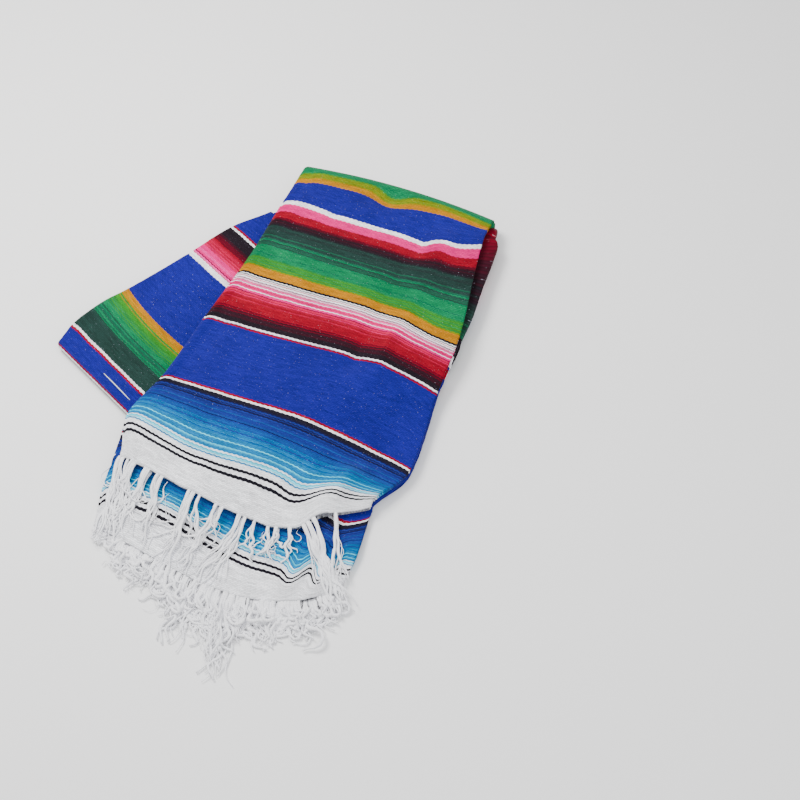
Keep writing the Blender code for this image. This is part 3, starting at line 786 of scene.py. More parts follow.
class Surface:
    """A material in the making, with its piece's own two coordinates."""

    def __init__(self, name: str, layer: str) -> None:
        """Start the material.

        Args:
            name: Its name.
            layer: Name of the coordinate layer that it reads.
        """
        self.material = bpy.data.materials.new(name)
        self.material.use_nodes = True
        self.tree = self.material.node_tree
        self.nodes = Nodes(self.tree)
        coordinates = self.nodes.add("UVMap", (), uv_map=layer).outputs[0]
        self.across, self.along, _ = self.nodes.add("SeparateXYZ", (coordinates,)).outputs

    def shaded(self, colour: object, value: object, shade: Shade) -> Socket:
        """Colour made darker or lighter by a value."""
        grey = self.nodes.remap(value, shade.low, shade.high, shade.dark, shade.light)
        return self.nodes.mix(1.0, colour, self.nodes.combine(grey, grey, grey), "MULTIPLY")

    def finish(self, colour: object, height: object, finish: Finish) -> bpy.types.Material:
        """Feed the shader.

        Args:
            colour: Base colour.
            height: Height of the relief.
            finish: Values of the finish.
        Returns:
            The material.
        """
        bump = self.nodes.add("Bump", ())
        bump.inputs["Strength"].default_value = finish.bump
        bump.inputs["Distance"].default_value = finish.relief
        self.nodes.link(height, bump.inputs["Height"])
        inputs = self.tree.nodes["Principled BSDF"].inputs
        inputs["Roughness"].default_value = finish.roughness
        inputs["Specular IOR Level"].default_value = finish.specular
        inputs["Sheen Weight"].default_value = finish.sheen
        inputs["Sheen Roughness"].default_value = finish.sheen_roughness
        self.nodes.link(bump.outputs[0], inputs["Normal"])
        self.nodes.link(colour, inputs["Base Color"])
        return self.material


@dataclass(frozen=True)
class Weave:
    """The weave: spacings of warps and weft picks, how they stray and mix, and how uneven they are."""

    warp: float = 0.0031
    pick: float = 0.0019
    stagger: float = 0.0007
    mixing: float = 0.013
    valley: float = 0.35
    wander: float = 0.0016
    wander_scale: float = 42.0
    streak_scale: float = 60.0
    streak_step: float = 3.7
    tone_scale: float = 16.0
    fleck_scale: float = 900.0
    fleck_stretch: float = 0.55
    flecks: Shade = Shade(0.71, 0.80, 0.0, 0.42)
    fleck_colour: tuple[float, ...] = (0.62, 0.66, 0.80, 1.0)
    nap_scale: float = 260.0
    nap_height: float = 0.6


class StripedCloth:
    """The cloth's material: stripes, weave and nap on its own cloth coordinates."""

    def __init__(self, weave: Weave) -> None:
        """Keep the weave."""
        self.weave = weave

    def stripes_group(self) -> bpy.types.NodeTree:
        """Group that turns the distance from a hem into the yarn's colour.

        Returns:
            The group.
        """
        group = new_group("serape stripes", {"Along": "NodeSocketFloat"}, {"Color": "NodeSocketColor"})
        nodes = Nodes(group)
        along = group.nodes["Group Input"].outputs[0]
        mm = nodes.math("MULTIPLY", along, 1000.0)
        pick = nodes.math("FLOOR", nodes.math("DIVIDE", along, self.weave.pick))
        shift = nodes.math("SUBTRACT", nodes.white(pick), 0.5)
        shift = nodes.math("MULTIPLY", shift, self.mixing(nodes, mm))
        shift = nodes.math("MULTIPLY", shift, 1000 * self.weave.mixing)
        ground = self.ground(nodes, nodes.math("ADD", mm, shift))
        group.links.new(self.lines(nodes, mm, ground), group.nodes["Group Output"].inputs[0])
        return group

    @staticmethod
    def mixing(nodes: Nodes, mm: Socket) -> Socket:
        """How strongly picks are mixed.

        Args:
            nodes: Nodes of the group.
            mm: Distance in mm.
        Returns:
            Strength from 0 to 1.
        """
        total = None
        for start, end, strength in MIXED:
            rise = nodes.remap(mm, start, start + MIXED_RISE, 0.0, strength)
            part = nodes.math("MULTIPLY", rise, nodes.remap(mm, end - MIXED_FALL, end, 1.0, 0.0))
            total = part if total is None else nodes.math("ADD", total, part)
        return total

    @staticmethod
    def ground(nodes: Nodes, mm: Socket) -> Socket:
        """Ground colour, from as many ramps as the rows need.

        Args:
            nodes: Nodes of the group.
            mm: Distance in mm.
        Returns:
            The colour.
        """
        colour = None
        for rows in joined_runs(GROUND):
            low, high = rows[0][0], rows[-1][0]
            stops = [((at - low) / (high - low), yarn.linear()) for at, yarn in rows]
            part = nodes.ramp(nodes.remap(mm, low, high, 0.0, 1.0), stops).outputs[0]
            past = nodes.math("GREATER_THAN", mm, float(low))
            colour = part if colour is None else nodes.mix(past, colour, part)
        return colour

    @staticmethod
    def lines(nodes: Nodes, mm: Socket, ground: Socket) -> Socket:
        """Thin lines over the ground colour.

        Args:
            nodes: Nodes of the group.
            mm: Distance in mm.
            ground: Colour without them.
        Returns:
            The colour with them.
        """
        clear = (0.0, 0.0, 0.0, 0.0)
        for rows in separate_runs(LINES):
            low, high = rows[0][0] - LINE_MARGIN, rows[-1][0] + LINE_MARGIN
            stops = [(0.0, clear)]
            for middle, width, yarn in rows:
                stops.append(((middle - width / 2 - low) / (high - low), yarn.linear()))
                stops.append(((middle + width / 2 - low) / (high - low), clear))
            ramp = nodes.ramp(nodes.remap(mm, low, high, 0.0, 1.0), stops, constant=True)
            ground = nodes.mix(ramp.outputs[1], ground, ramp.outputs[0])
        return ground

    def relief(self, nodes: Nodes, across: object, along: object) -> Socket:
        """Height of the weft floats: rounded rows, each float over one warp, staggered by rows.

        Args:
            nodes: Nodes of the material.
            across: Distance across.
            along: Distance along.
        Returns:
            Height from 0 to 1.
        """
        row = nodes.math("DIVIDE", along, self.weave.pick)
        parity = nodes.math("MULTIPLY", nodes.math("FLOOR", row), 0.5)
        rows = nodes.math("ABSOLUTE", nodes.math("SINE", nodes.math("MULTIPLY", row, math.pi)))
        cell = nodes.math("ADD", nodes.math("DIVIDE", across, 2 * self.weave.warp), parity)
        floats = nodes.math("ABSOLUTE", nodes.math("SINE", nodes.math("MULTIPLY", cell, math.pi)))
        floats = nodes.math("MULTIPLY", floats, 1 - self.weave.valley)
        return nodes.math("MULTIPLY", rows, nodes.math("ADD", self.weave.valley, floats))

    def make(self) -> bpy.types.Material:
        """Build the material.

        Returns:
            The material.
        """
        weave, surface = self.weave, Surface("striped_cloth", "cloth")
        nodes, across, along = surface.nodes, surface.across, surface.along
        # Weft rows wander a little, and each row steps at every warp
        stray = nodes.noise(nodes.combine(across, along), weave.wander_scale, 1.0)
        stray = nodes.math("MULTIPLY", nodes.math("SUBTRACT", stray, 0.5), weave.wander)
        along = nodes.math("ADD", along, stray)
        step = nodes.math("PINGPONG", nodes.math("DIVIDE", across, weave.warp), 1.0)
        step = nodes.math("MULTIPLY", nodes.math("SUBTRACT", step, 0.5), weave.stagger)
        stepped = nodes.math("ADD", along, step)
        stripes = nodes.add("Group", (), node_tree=self.stripes_group())
        nodes.link(stepped, stripes.inputs[0])
        # Streaky dyeing along each weft row
        row = nodes.math("FLOOR", nodes.math("DIVIDE", stepped, weave.pick))
        run = nodes.math("MULTIPLY", across, weave.streak_scale)
        streak = nodes.noise(nodes.combine(run, nodes.math("MULTIPLY", row, weave.streak_step)), 1.0, 2.0)
        colour = surface.shaded(stripes.outputs[0], streak, STREAKS)
        # Painted shade in the hollows between the floats
        rise = self.relief(nodes, across, stepped)
        colour = surface.shaded(colour, rise, PAINTED_HOLLOW_SHADE)
        # Broad random patches, a little lighter and darker
        tone = nodes.noise(nodes.combine(across, along), weave.tone_scale, 3.0)
        colour = surface.shaded(colour, tone, BROAD_PATCHES)
        # Pale flecks and fuzz
        place = nodes.combine(nodes.math("MULTIPLY", across, weave.fleck_stretch), along)
        fleck = nodes.noise(place, weave.fleck_scale, 1.0)
        share = weave.flecks
        fleck = nodes.remap(fleck, share.low, share.high, share.dark, share.light)
        colour = nodes.mix(fleck, colour, weave.fleck_colour)
        nap = nodes.noise(nodes.combine(across, along), weave.nap_scale, 4.0, 0.7)
        colour = surface.shaded(colour, nap, FUZZ)
        height = nodes.math("ADD", rise, nodes.math("MULTIPLY", nap, weave.nap_height))
        return surface.finish(colour, height, CLOTH_FINISH)


@dataclass(frozen=True)
class FringeYarn:
    """Material of the white fringe yarn, twisted on its coordinates round and along each yarn."""

    colour: tuple[float, ...] = (0.95, 0.95, 0.985, 1.0)
    slant: float = 420.0
    plies: float = 2.0

    def make(self) -> bpy.types.Material:
        """Build the material.

        Returns:
            The material.
        """
        surface = Surface("fringe_yarn", "yarn")
        nodes = surface.nodes
        turn = nodes.math("ADD", surface.across, nodes.math("MULTIPLY", surface.along, self.slant))
        twist = nodes.math("PINGPONG", nodes.math("MULTIPLY", turn, self.plies), 1.0)
        # The colour is darkened in the twist's grooves: painted shade
        return surface.finish(surface.shaded(self.colour, twist, PAINTED_TWIST_SHADE), twist, YARN_FINISH)


class MeshData:
    """Points, faces and coordinates of a piece while it is put together."""

    def __init__(self) -> None:
        """Start empty."""
        self.points: list[np.ndarray] = []
        self.faces: list[np.ndarray] = []
        self.marks: list[np.ndarray] = []
        self.count = 0

    def grid(self, points: np.ndarray, marks: np.ndarray, ring: bool = False, caps: bool = False) -> None:
        """Add a grid of quads.

        Args:
            points: Shape (rows, columns, 3).
            marks: Cloth coordinates, shape (rows, columns, 2).
            ring: Whether the last column joins the first.
            caps: Whether the first and last rows are closed with a fan.
        """
        rows, columns = points.shape[:2]
        index = np.arange(rows * columns).reshape(rows, columns) + self.count
        right = np.roll(index, -1, axis=1)
        if not ring:
            index, right = index[:, :-1], right[:, :-1]
        quads = np.stack([index[:-1], right[:-1], right[1:], index[1:]], axis=-1).reshape(-1, 4)
        self.points.append(points.reshape(-1, 3))
        self.marks.append(marks.reshape(-1, 2))
        self.faces.append(quads)
        self.count += rows * columns
        if caps:
            self.cap(points[0], marks[0], index[0], flip=True)
            self.cap(points[-1], marks[-1], index[-1], flip=False)

    def cap(self, points: np.ndarray, marks: np.ndarray, index: np.ndarray, flip: bool) -> None:
        """Close a ring with a fan to its middle.

        Args:
            points: Points of the ring.
            marks: Coordinates of the ring.
            index: Their indices.
            flip: Whether the fan faces the other way.
        """
        self.points.append(points.mean(axis=0)[None])
        self.marks.append(marks.mean(axis=0)[None])
        hub = np.full(len(index), self.count)
        after = np.roll(index, -1)
        fan = [hub, after, index] if flip else [hub, index, after]
        self.faces.append(np.stack(fan, axis=-1))
        self.count += 1

    def build(self, name: str, layer: str, material: bpy.types.Material) -> bpy.types.Object:
        """Make the object.

        Args:
            name: Its name.
            layer: Name of its coordinate layer.
            material: Its material.
        Returns:
            The object.
        """
        points = np.concatenate(self.points)
        points[:, :2] -= OUTLINE_MIDDLE
        marks = np.concatenate(self.marks)
        faces = [tuple(face) for block in self.faces for face in block.tolist()]
        mesh = bpy.data.meshes.new(name)
        mesh.from_pydata(points.tolist(), [], faces)
        coordinates = mesh.uv_layers.new(name=layer)
        corners = np.empty(len(mesh.loops), np.int32)
        mesh.loops.foreach_get("vertex_index", corners)
        coordinates.data.foreach_set("uv", marks[corners].astype(np.float32).ravel())
        mesh.materials.append(material)
        mesh.shade_smooth()
        mesh.update()
        item = bpy.data.objects.new(name, mesh)
        bpy.context.scene.collection.objects.link(item)
        return item


@dataclass(frozen=True)
class Fineness:
    """Spacing of the meshes' rows in metres, and their counts of columns, and of rows in a turn."""

    along: float = 0.0026
    across: int = 120
    roll: int = 12
    turn: int = 26
    tail: int = 6
    layer_along: float = 0.0055
    layer_across: int = 46


class StretchKind(Enum):
    """The stretches of cloth that show."""

    TOP = "top_stretch"
    LEFT = "left_stretch"
    LOWER = "lower_stretch"


@dataclass(frozen=True)
class Stretch:
    """A finished stretch of cloth.

    Args:
        piece: Its object.
        flat: Flat width and length of what shows.
        area: Flat area.
    """

    piece: bpy.types.Object
    flat: tuple[float, float]
    area: float


@dataclass(frozen=True)
class LoosePick:
    """The loose pick: where it lies on the left stretch, its size and where the cloth is white."""

    station: float = 0.0050
    slant: float = -0.0010
    first: float = 0.300
    reach: float = 0.190
    radius: float = 0.00075
    above: float = 0.6
    lift: float = 0.0012
    tip: float = 0.3
    blunt: float = 0.02
    white: float = 0.020
    points: int = 14
    sides: int = 6


@dataclass(frozen=True)
class Dimples:
    """The groove beside the left roll of the top stretch, and the small slanting dimples in it."""

    inward: float = 0.0140
    reach: float = 0.0050
    pitch: float = 0.0072
    slant: float = 90.0
    uneven: float = 0.8
    first: float = 0.06
    last: float = 0.30
    fade: float = 0.06
    groove: float = 0.0014
    depth: float = 0.0011

    def at(self, station: float, across: np.ndarray) -> np.ndarray:
        """Depths on the top stretch.

        Args:
            station: Distance along the stretch.
            across: Shares across it.
        Returns:
            Depths, shape (n,).
        """
        inward = across * TOP.width(station)
        beside = np.exp(-(((inward - self.inward) / self.reach) ** 2))
        turn = station / self.pitch + inward * self.slant + self.uneven * drift(station, 60)
        marks = 0.5 + 0.5 * np.sin(2 * math.pi * turn)
        rise = smooth((station - self.first) / self.fade) * smooth((self.last - station) / self.fade)
        return beside * (self.groove + self.depth * float(rise) * marks**2)


@dataclass(frozen=True)
class SelvedgeHook:
    """How the stripes hook towards the middle of the cloth at the left roll."""

    shift: float = 0.007
    reach: float = 0.0075
    start: float = 0.03

    def at(self, inward: np.ndarray) -> np.ndarray:
        """Shift of the stripes at distances from the edge."""
        return self.shift * np.exp(-((inward / self.reach) ** 2))


DIMPLES, HOOK = Dimples(), SelvedgeHook()


class ClothStretch:
    """Builds a stretch of cloth that shows: its outer ply, with the roll at its left edge."""

    BISECTIONS = 22
    # The left stretch ends where the top one leaves less than this share of it in view
    LEAST_SHARE = 0.055
    SEARCH_START, SEARCH_STEP = 0.15, 0.002
    LOWER_STRETCH = 1.25
    EDGE_WAVE, EDGE_FADE = 0.0007, 0.03
    PUCKER = 0.10

    def __init__(self, kind: StretchKind, fineness: Fineness, material: bpy.types.Material) -> None:
        """Keep what it is made with.

        Args:
            kind: Which stretch.
            fineness: Spacing of its mesh.
            material: Its material.
        """
        self.kind = kind
        self.fineness = fineness
        self.material = material

    def surface(self, station: float, across: np.ndarray) -> tuple[np.ndarray, np.ndarray]:
        """Outer face and its outward direction.

        Args:
            station: Distance along the stretch.
            across: Shares across it.
        Returns:
            Points, shape (n, 3), and one unit direction.
        """
        if self.kind is StretchKind.TOP:
            plan = TOP_HEM.plan(min(station, TOP.end), across)
            if station > TOP.end:
                return rolled(plan, OUTER_WAY, SIZES.outer_radius, station - TOP.end)
            return np.column_stack([plan, top_height(plan, station) - DIMPLES.at(station, across)]), UP
        if self.kind is StretchKind.LOWER:
            plan = LOWER.plan(station, across)
            return np.column_stack([plan, lower_height(plan)]), UP
        plan = PACKET.plan(max(station, 0.0), across)
        if station < 0:
            return rolled(plan, MIDDLE_WAY, SIZES.middle_radius, -station)
        folds = creased(plan, LEFT_CREASES) + LEFT_SWELLS.at(plan)
        return np.column_stack([plan, SIZES.pair + folds * smooth(station / SIZES.calm)]), UP

    def reach(self, station: float) -> float:
        """How far across it shows.

        Args:
            station: Distance along the stretch.
        Returns:
            Share across.
        """
        if self.kind is not StretchKind.LEFT:
            return 1.0
        low, high = 0.0, 1.0
        for _ in range(self.BISECTIONS):
            middle = (low + high) / 2
            plan = self.surface(station, np.array([middle]))[0][:, :2]
            low, high = (low, middle) if UPPER_OUTLINE.holds(plan)[0] else (middle, high)
        return low

    def along(self, station: float, across: np.ndarray) -> np.ndarray:
        """Distance from the nearer hem, measured along the cloth.

        Args:
            station: Distance along the stretch.
            across: Shares across it.
        Returns:
            Distances.
        """
        if self.kind is StretchKind.LEFT:
            return np.full(len(across), HALF_LENGTH - station)
        strip, pulls = (TOP, TOP_PULLS) if self.kind is StretchKind.TOP else (LOWER, LOWER_PULLS)
        hook = HOOK.at(across * strip.width(min(station, TOP.end)))
        pulled = sum(pull.at(station, across) for pull in pulls)
        if self.kind is StretchKind.LOWER:
            return station + gathered(min(station, LOWER.end), across) + pulled + hook
        return station + pulled + hook * smooth(station / HOOK.start)

    def stations(self) -> np.ndarray:
        """Stations of its rows.

        Returns:
            Stations in order.
        """
        step, turn = self.fineness.along, self.fineness.turn
        if self.kind is StretchKind.TOP:
            flat = np.linspace(0, TOP.end, round(TOP.end / step))
            end = TOP.end + math.pi * SIZES.outer_radius + SIZES.outer_underlap
            return np.concatenate([flat, np.linspace(TOP.end, end, turn + self.fineness.tail)[1:]])
        if self.kind is StretchKind.LOWER:
            rows = round(LOWER.end * self.LOWER_STRETCH / step)
            return np.linspace(0, LOWER.end + SIZES.lower_underlap, rows)
        last = self.SEARCH_START
        while self.reach(last) > self.LEAST_SHARE:
            last += self.SEARCH_STEP
        flat = np.linspace(0, last, round(last / step))
        start = -math.pi * SIZES.middle_radius - SIZES.middle_underlap
        return np.concatenate([np.linspace(start, 0, turn, endpoint=False), flat])

    def add_loose_pick(self, data: MeshData) -> None:
        """Add the white weft pick that lies loose over the blue band at the middle fold.

        Args:
            data: Mesh to add to.
        """
        pick = LoosePick()
        t = np.linspace(0, 1, pick.points)
        places = zip(pick.station + pick.slant * t, pick.first + pick.reach * t)
        line = np.array([self.surface(station, np.array([share]))[0][0] for station, share in places])
        line[:, 2] += pick.radius * pick.above + pick.lift * np.sin(math.pi * t)
        side = np.cross(line[-1] - line[0], UP)
        side /= np.linalg.norm(side)
        round_end = np.sqrt(np.sin(math.pi * np.clip(t, pick.blunt, 1 - pick.blunt)))
        radii = pick.radius * (pick.tip + (1 - pick.tip) * round_end)
        points = tube(line, side, UP, radii, pick.sides)
        marks = np.broadcast_to(np.array([0.0, pick.white]), (*points.shape[:2], 2))
        data.grid(points, marks, ring=True, caps=True)

    def section(self, station: float) -> tuple[np.ndarray, np.ndarray]:
        """One row of points: round the roll at the left, then across the face.

        Args:
            station: Distance along the stretch.
        Returns:
            Points, shape (n, 3), and cloth coordinates, shape (n, 2).
        """
        radius = SIZES.long_roll
        last = self.reach(station)
        (edge, far, right), up = self.surface(station, np.array([0.0, last, 1.0]))
        run = far - edge
        run -= up * (run @ up)
        run /= np.linalg.norm(run)
        width = float(np.linalg.norm(right - edge))
        first = radius / width
        across = np.linspace(first, last, self.fineness.across)
        face, _ = self.surface(station, across)
        if self.kind is not StretchKind.LEFT:
            fade = smooth((across - (1 - self.EDGE_FADE)) / self.EDGE_FADE)[:, None]
            face = face + fade * run * (self.EDGE_WAVE * drift(station, 90, 5.0, 2.0))
        centre = edge + run * radius
        centre = centre + up * ((face[0] - centre) @ up - radius)
        angles = np.linspace(math.pi, 0, self.fineness.roll, endpoint=False)[:, None]
        pucker = 1 + self.PUCKER * drift(station, 130, 1.0, 4.0)
        roll = centre + radius * (up * np.cos(angles) - run * np.sin(angles) * pucker)
        shares = np.concatenate([np.zeros(len(roll)), across])
        u = np.concatenate([first * width - angles[:, 0] * radius, across * width])
        return np.concatenate([roll, face]), np.column_stack([u, self.along(station, shares)])

    def make(self) -> Stretch:
        """Build the stretch.

        Returns:
            The finished stretch.
        """
        points, marks = (np.array(rows) for rows in zip(*(self.section(float(s)) for s in self.stations())))
        data = MeshData()
        data.grid(points, marks)
        piece = data.build(self.kind.value + "_cloth", "cloth", self.material)
        thick = piece.modifiers.new("ply", "SOLIDIFY")
        thick.thickness = SIZES.ply * SIZES.ply_share
        thick.offset = -1
        steps = np.linalg.norm(np.diff(points, axis=0), axis=-1)
        spans = np.linalg.norm(np.diff(points, axis=1), axis=-1)
        area = float((spans[:-1].sum(axis=1) * steps.mean(axis=1)).sum())
        flat = (float(spans.sum(axis=1).max()), float(steps.sum(axis=0).mean()))
        return Stretch(piece, flat, min(area, flat[0] * flat[1]))


def tube(line: np.ndarray, side: np.ndarray, up: np.ndarray, radii: np.ndarray, sides: int) -> np.ndarray:
    """Rings round a line.

    Args:
        line: Middle line, shape (n, 3).
        side: Direction aside, one or one for each point.
        up: Direction up, one or one for each point.
        radii: Radius at each point.
        sides: Points of each ring.
    Returns:
        Points, shape (n, sides, 3).
    """
    turns = np.linspace(0, 2 * math.pi, sides, endpoint=False)[:, None]
    ring = side[..., None, :] * np.cos(turns) + up[..., None, :] * np.sin(turns)
    return line[:, None] + ring * radii[:, None, None]


def top_height(plan: np.ndarray, station: float) -> np.ndarray:
    """Upper face of the top stretch."""
    folds = creased(plan, SHARED_CREASES, TOP_CREASES) + TOP_SWELLS.at(plan)
    return support(plan) + SIZES.pair + folds * smooth((TOP.end - station) / SIZES.calm)


def lower_height(plan: np.ndarray) -> np.ndarray:
    """Upper face of the lower stretch at plan points."""
    folds = creased(plan, SHARED_CREASES, LOWER_CREASES) + LOWER_SWELLS.at(plan)
    return support(plan) + SIZES.strip + folds


def gathered(length: float, across: np.ndarray) -> np.ndarray:
    """Extra cloth in a length of the lower strip, which is gathered at the right."""
    return GATHER * length * smooth((across - GATHER_FROM) / GATHER_OVER)


def rolled(plan: np.ndarray, way: np.ndarray, radius: float, past: float) -> tuple[np.ndarray, np.ndarray]:
    """Points on a half round, a distance past the line it starts at.

    Args:
        plan: Plan points of that line.
        way: Plan direction out of the fold.
        radius: Its radius.
        past: Distance past the line.
    Returns:
        Points and the outward direction.
    """
    turn = min(past / radius, math.pi)
    tail = max(0.0, past - math.pi * radius)
    at = plan + way * (radius * math.sin(turn) - tail)
    up = np.array([*(way * math.sin(turn)), math.cos(turn)])
    height = np.full(len(plan), radius * (1 + math.cos(turn)))
    return np.column_stack([at, height]), up


class Run(Enum):
    """Runs of the folded strip, in order along it, from the top hem to the lower one."""

    TOP = 0
    OUTER_TURN = 1
    PACKET_LOW = 2
    MIDDLE_TURN = 3
    PACKET_HIGH = 4
    INNER_TURN = 5
    BENEATH = 6
    LOWER = 7


TURNS = (Run.OUTER_TURN, Run.MIDDLE_TURN, Run.INNER_TURN)
COVERED = (Run.TOP, Run.OUTER_TURN, Run.MIDDLE_TURN, Run.PACKET_HIGH)
STRIPS = {Run.LOWER: LOWER, Run.PACKET_LOW: PACKET, Run.MIDDLE_TURN: PACKET, Run.PACKET_HIGH: PACKET}


@dataclass(frozen=True)
class LayerEdge:
    """One rounded edge among the strip's plies: its middle, half height and wander."""

    middle: float
    half: float
    seed: float


@dataclass(frozen=True)
class LayerSizes:
    """Sizes of the hidden plies: their section, their edges, and the cloth in each turn.

    Args:
        right_start: Distance in from the right edge at which the faces end.
        edge_start: Depth of the slit between two plies at the right edge.
        bulge: How far an edge stands out, in half heights.
        edge_angle: Half the angle of a right edge, in degrees, and roll_angle of the left roll.
        wander: Slow wander of the right edges, and ripple the quick one.
        roll_across: Cloth coordinate of the left roll.
        hidden_reach: Reach of the right edges where a ply in view covers them.
        ply_from: Offset past which an edge belongs to an outer ply, striped ply_shift further on.
        outer_turn: Length of cloth in the outer turn, and inner_turn in each inner one.
        lower_skin: How far beneath the top hem the lower ply in view still reaches.
        change: Station beneath the top strip where the stripes jump to another ply's dark ones, painted
            shade on the edges that peek out.
    """

    span: float = 0.30
    skin_gap: float = 0.0006
    right_start: float = 0.004
    edge_start: float = 0.0030
    bulge: float = 1.1
    edge_angle: float = 75
    edge_points: int = 7
    roll_angle: float = 80
    roll_points: int = 9
    wander: float = 0.0016
    ripple: float = 0.0006
    lift: float = 0.0002
    pucker: float = 0.12
    roll_across: float = -0.004
    hidden_reach: float = -0.0008
    outer_share: float = 0.3
    ply_from: float = 0.0012
    ply_shift: float = 0.0016
    inset: float = 0.0002
    outer_turn: float = 0.056
    inner_turn: float = 0.028
    lower_skin: float = 0.030
    gather_fade: float = 0.15
    start: float = 0.0015
    change: float = 0.3172
    after: float = 0.3170
    join: float = 0.002
    lower_start: float = 0.001


class Rim:
    """Points of one section of the hidden plies, once round."""

    def __init__(self) -> None:
        """Start empty."""
        self.rows: list[tuple[float, bool, float, float]] = []

    def add(self, inward: float, from_left: bool, off: float, across: float) -> None:
        """Add a point: distance in, whether from the left, offset, and distance across the cloth."""
        self.rows.append((inward, from_left, off, across))

    def columns(self) -> list[np.ndarray]:
        """The four values of all points, as arrays."""
        return [np.array(column) for column in zip(*self.rows)]


class HiddenLayers:
    """The plies that don't show, as one strip with layered edges that follows every fold."""

    EDGES = (
        LayerEdge(-0.00225, 0.00222, 1.0),
        LayerEdge(0.001125, 0.00110, 2.0),
        LayerEdge(0.003375, 0.00110, 3.0),
    )

    def __init__(self, fineness: Fineness, left: ClothStretch, material: bpy.types.Material) -> None:
        """Keep what it is made with.

        Args:
            fineness: Spacing of its mesh.
            left: The left stretch, on which a loose pick lies.
            material: Its material.
        """
        self.fineness = fineness
        self.left = left
        self.material = material
        self.sizes = LayerSizes()

    @staticmethod
    def station(run: Run, at: float) -> float:
        """Station of a section, which in a turn is that of the line it starts at."""
        at = 0.0 if run is Run.MIDDLE_TURN else at
        return TOP.end if run in (Run.OUTER_TURN, Run.INNER_TURN) else at

    def place(self, run: Run, at: float, rim: list[np.ndarray]) -> np.ndarray:
        """Points of a section.

        Args:
            run: Which run of the strip.
            at: Station, or turned angle.
            rim: Distances in, whether from the left, and offsets, positive on the outer face.
        Returns:
            Points, shape (n, 3).
        """
        inward, from_left, off = rim[:3]
        strip, station, half = STRIPS.get(run, TOP), self.station(run, at), SIZES.strip / 2
        share = inward / strip.width(station)
        share = np.where(from_left, share, 1 - share)
        plan = TOP_HEM.plan(station, share) if run is Run.TOP else strip.plan(station, share)
        if run in (Run.TOP, Run.BENEATH, Run.LOWER):
            calm = smooth((TOP.end - station) / SIZES.calm)
            low = support(plan)
            high = low + SIZES.strip + creased(plan, SHARED_CREASES) * calm
            if run is Run.TOP:
                low, high = high, top_height(plan, station)
            elif run is Run.LOWER:
                high = lower_height(plan)
            rise = (half + off if run is Run.TOP else half - off) / SIZES.strip
            return np.column_stack([plan, low + (high - low) * rise])
        if run is Run.PACKET_LOW:
            return np.column_stack([plan, half - off])
        if run is Run.PACKET_HIGH:
            return np.column_stack([plan, SIZES.strip + half + off])
        centre, radius, sign = {
            Run.OUTER_TURN: (SIZES.pair, SIZES.pair - half + off, 1),
            Run.MIDDLE_TURN: (SIZES.strip, half + off, -1),
            Run.INNER_TURN: (SIZES.pair, half - off, -1),
        }[run]
        way = MIDDLE_WAY if run is Run.MIDDLE_TURN else OUTER_WAY
        out = plan + way * (radius * math.sin(at))[:, None]
        return np.column_stack([out, centre + sign * radius * math.cos(at)])

    def add_face(self, rim: Rim, offset: float, start: float, forward: bool) -> None:
        """Add the inner or the outer face.

        Args:
            rim: Section to add to.
            offset: Offset of the face.
            start: Distance from the left edge at which it starts.
            forward: Whether it runs from left to right.
        """
        half, span, right = self.fineness.layer_across // 2, self.sizes.span, self.sizes.right_start
        columns = [(start + share * (span - 2 * start), True) for share in np.linspace(0, 0.5, half)]
        backwards = np.linspace(0.5, 0, half)[1:]
        columns += [(right + share * (span - 2 * right), False) for share in backwards]
        for inward, from_left in columns if forward else columns[::-1]:
            rim.add(inward, from_left, offset, inward if from_left else span - inward)

    def add_right_edges(
        self, rim: Rim, low: float, high: float, reach: float, at: float, seed: float
    ) -> None:
        """Add the rounded right edges of the plies.

        Args:
            rim: Section to add to.
            low: Offset of the inner face.
            high: Offset of the outer face.
            reach: How far the plies reach past the right edge.
            at: Place along the strip, for their wander.
            seed: Which run, for their wander.
        """
        sizes = self.sizes
        for edge in self.EDGES:
            if edge.middle - edge.half > high or edge.middle + edge.half < low - 1e-6:
                continue
            wander = sizes.wander * drift(at, 22, edge.seed * 5, seed)
            wander += sizes.ripple * drift(at, 90, edge.seed * 9, seed)
            half = min(edge.half, (high - low) / 2)
            middle = min(max(edge.middle, low + half), high - half)
            lift = sizes.lift * drift(at, 40, edge.seed, seed + 4)
            rim.add(sizes.edge_start - reach + wander, False, middle - half + lift, sizes.span)
            for angle in np.radians(np.linspace(-sizes.edge_angle, sizes.edge_angle, sizes.edge_points)):
                inward = wander - reach + half * (1 - math.cos(angle)) * sizes.bulge
                rim.add(inward, False, middle + half * math.sin(angle) + lift, sizes.span)

    def add_left_edge(self, rim: Rim, low: float, high: float, at: float, seed: float) -> None:
        """Add the roll at the left, where no other piece rolls round it.

        Args:
            rim: Section to add to.
            low: Offset of the inner face.
            high: Offset of the outer face.
            at: Place along the strip, for its pucker.
            seed: Which run, for its pucker.
        """
        sizes = self.sizes
        middle, half = (low + high) / 2, (high - low) / 2
        pucker = 1 + sizes.pucker * drift(at, 130, seed, 8.0)
        for angle in np.radians(np.linspace(sizes.roll_angle, -sizes.roll_angle, sizes.roll_points)):
            inward = SIZES.long_roll * (1 - math.cos(angle) * pucker)
            rim.add(inward, True, middle + half * math.sin(angle), sizes.roll_across)

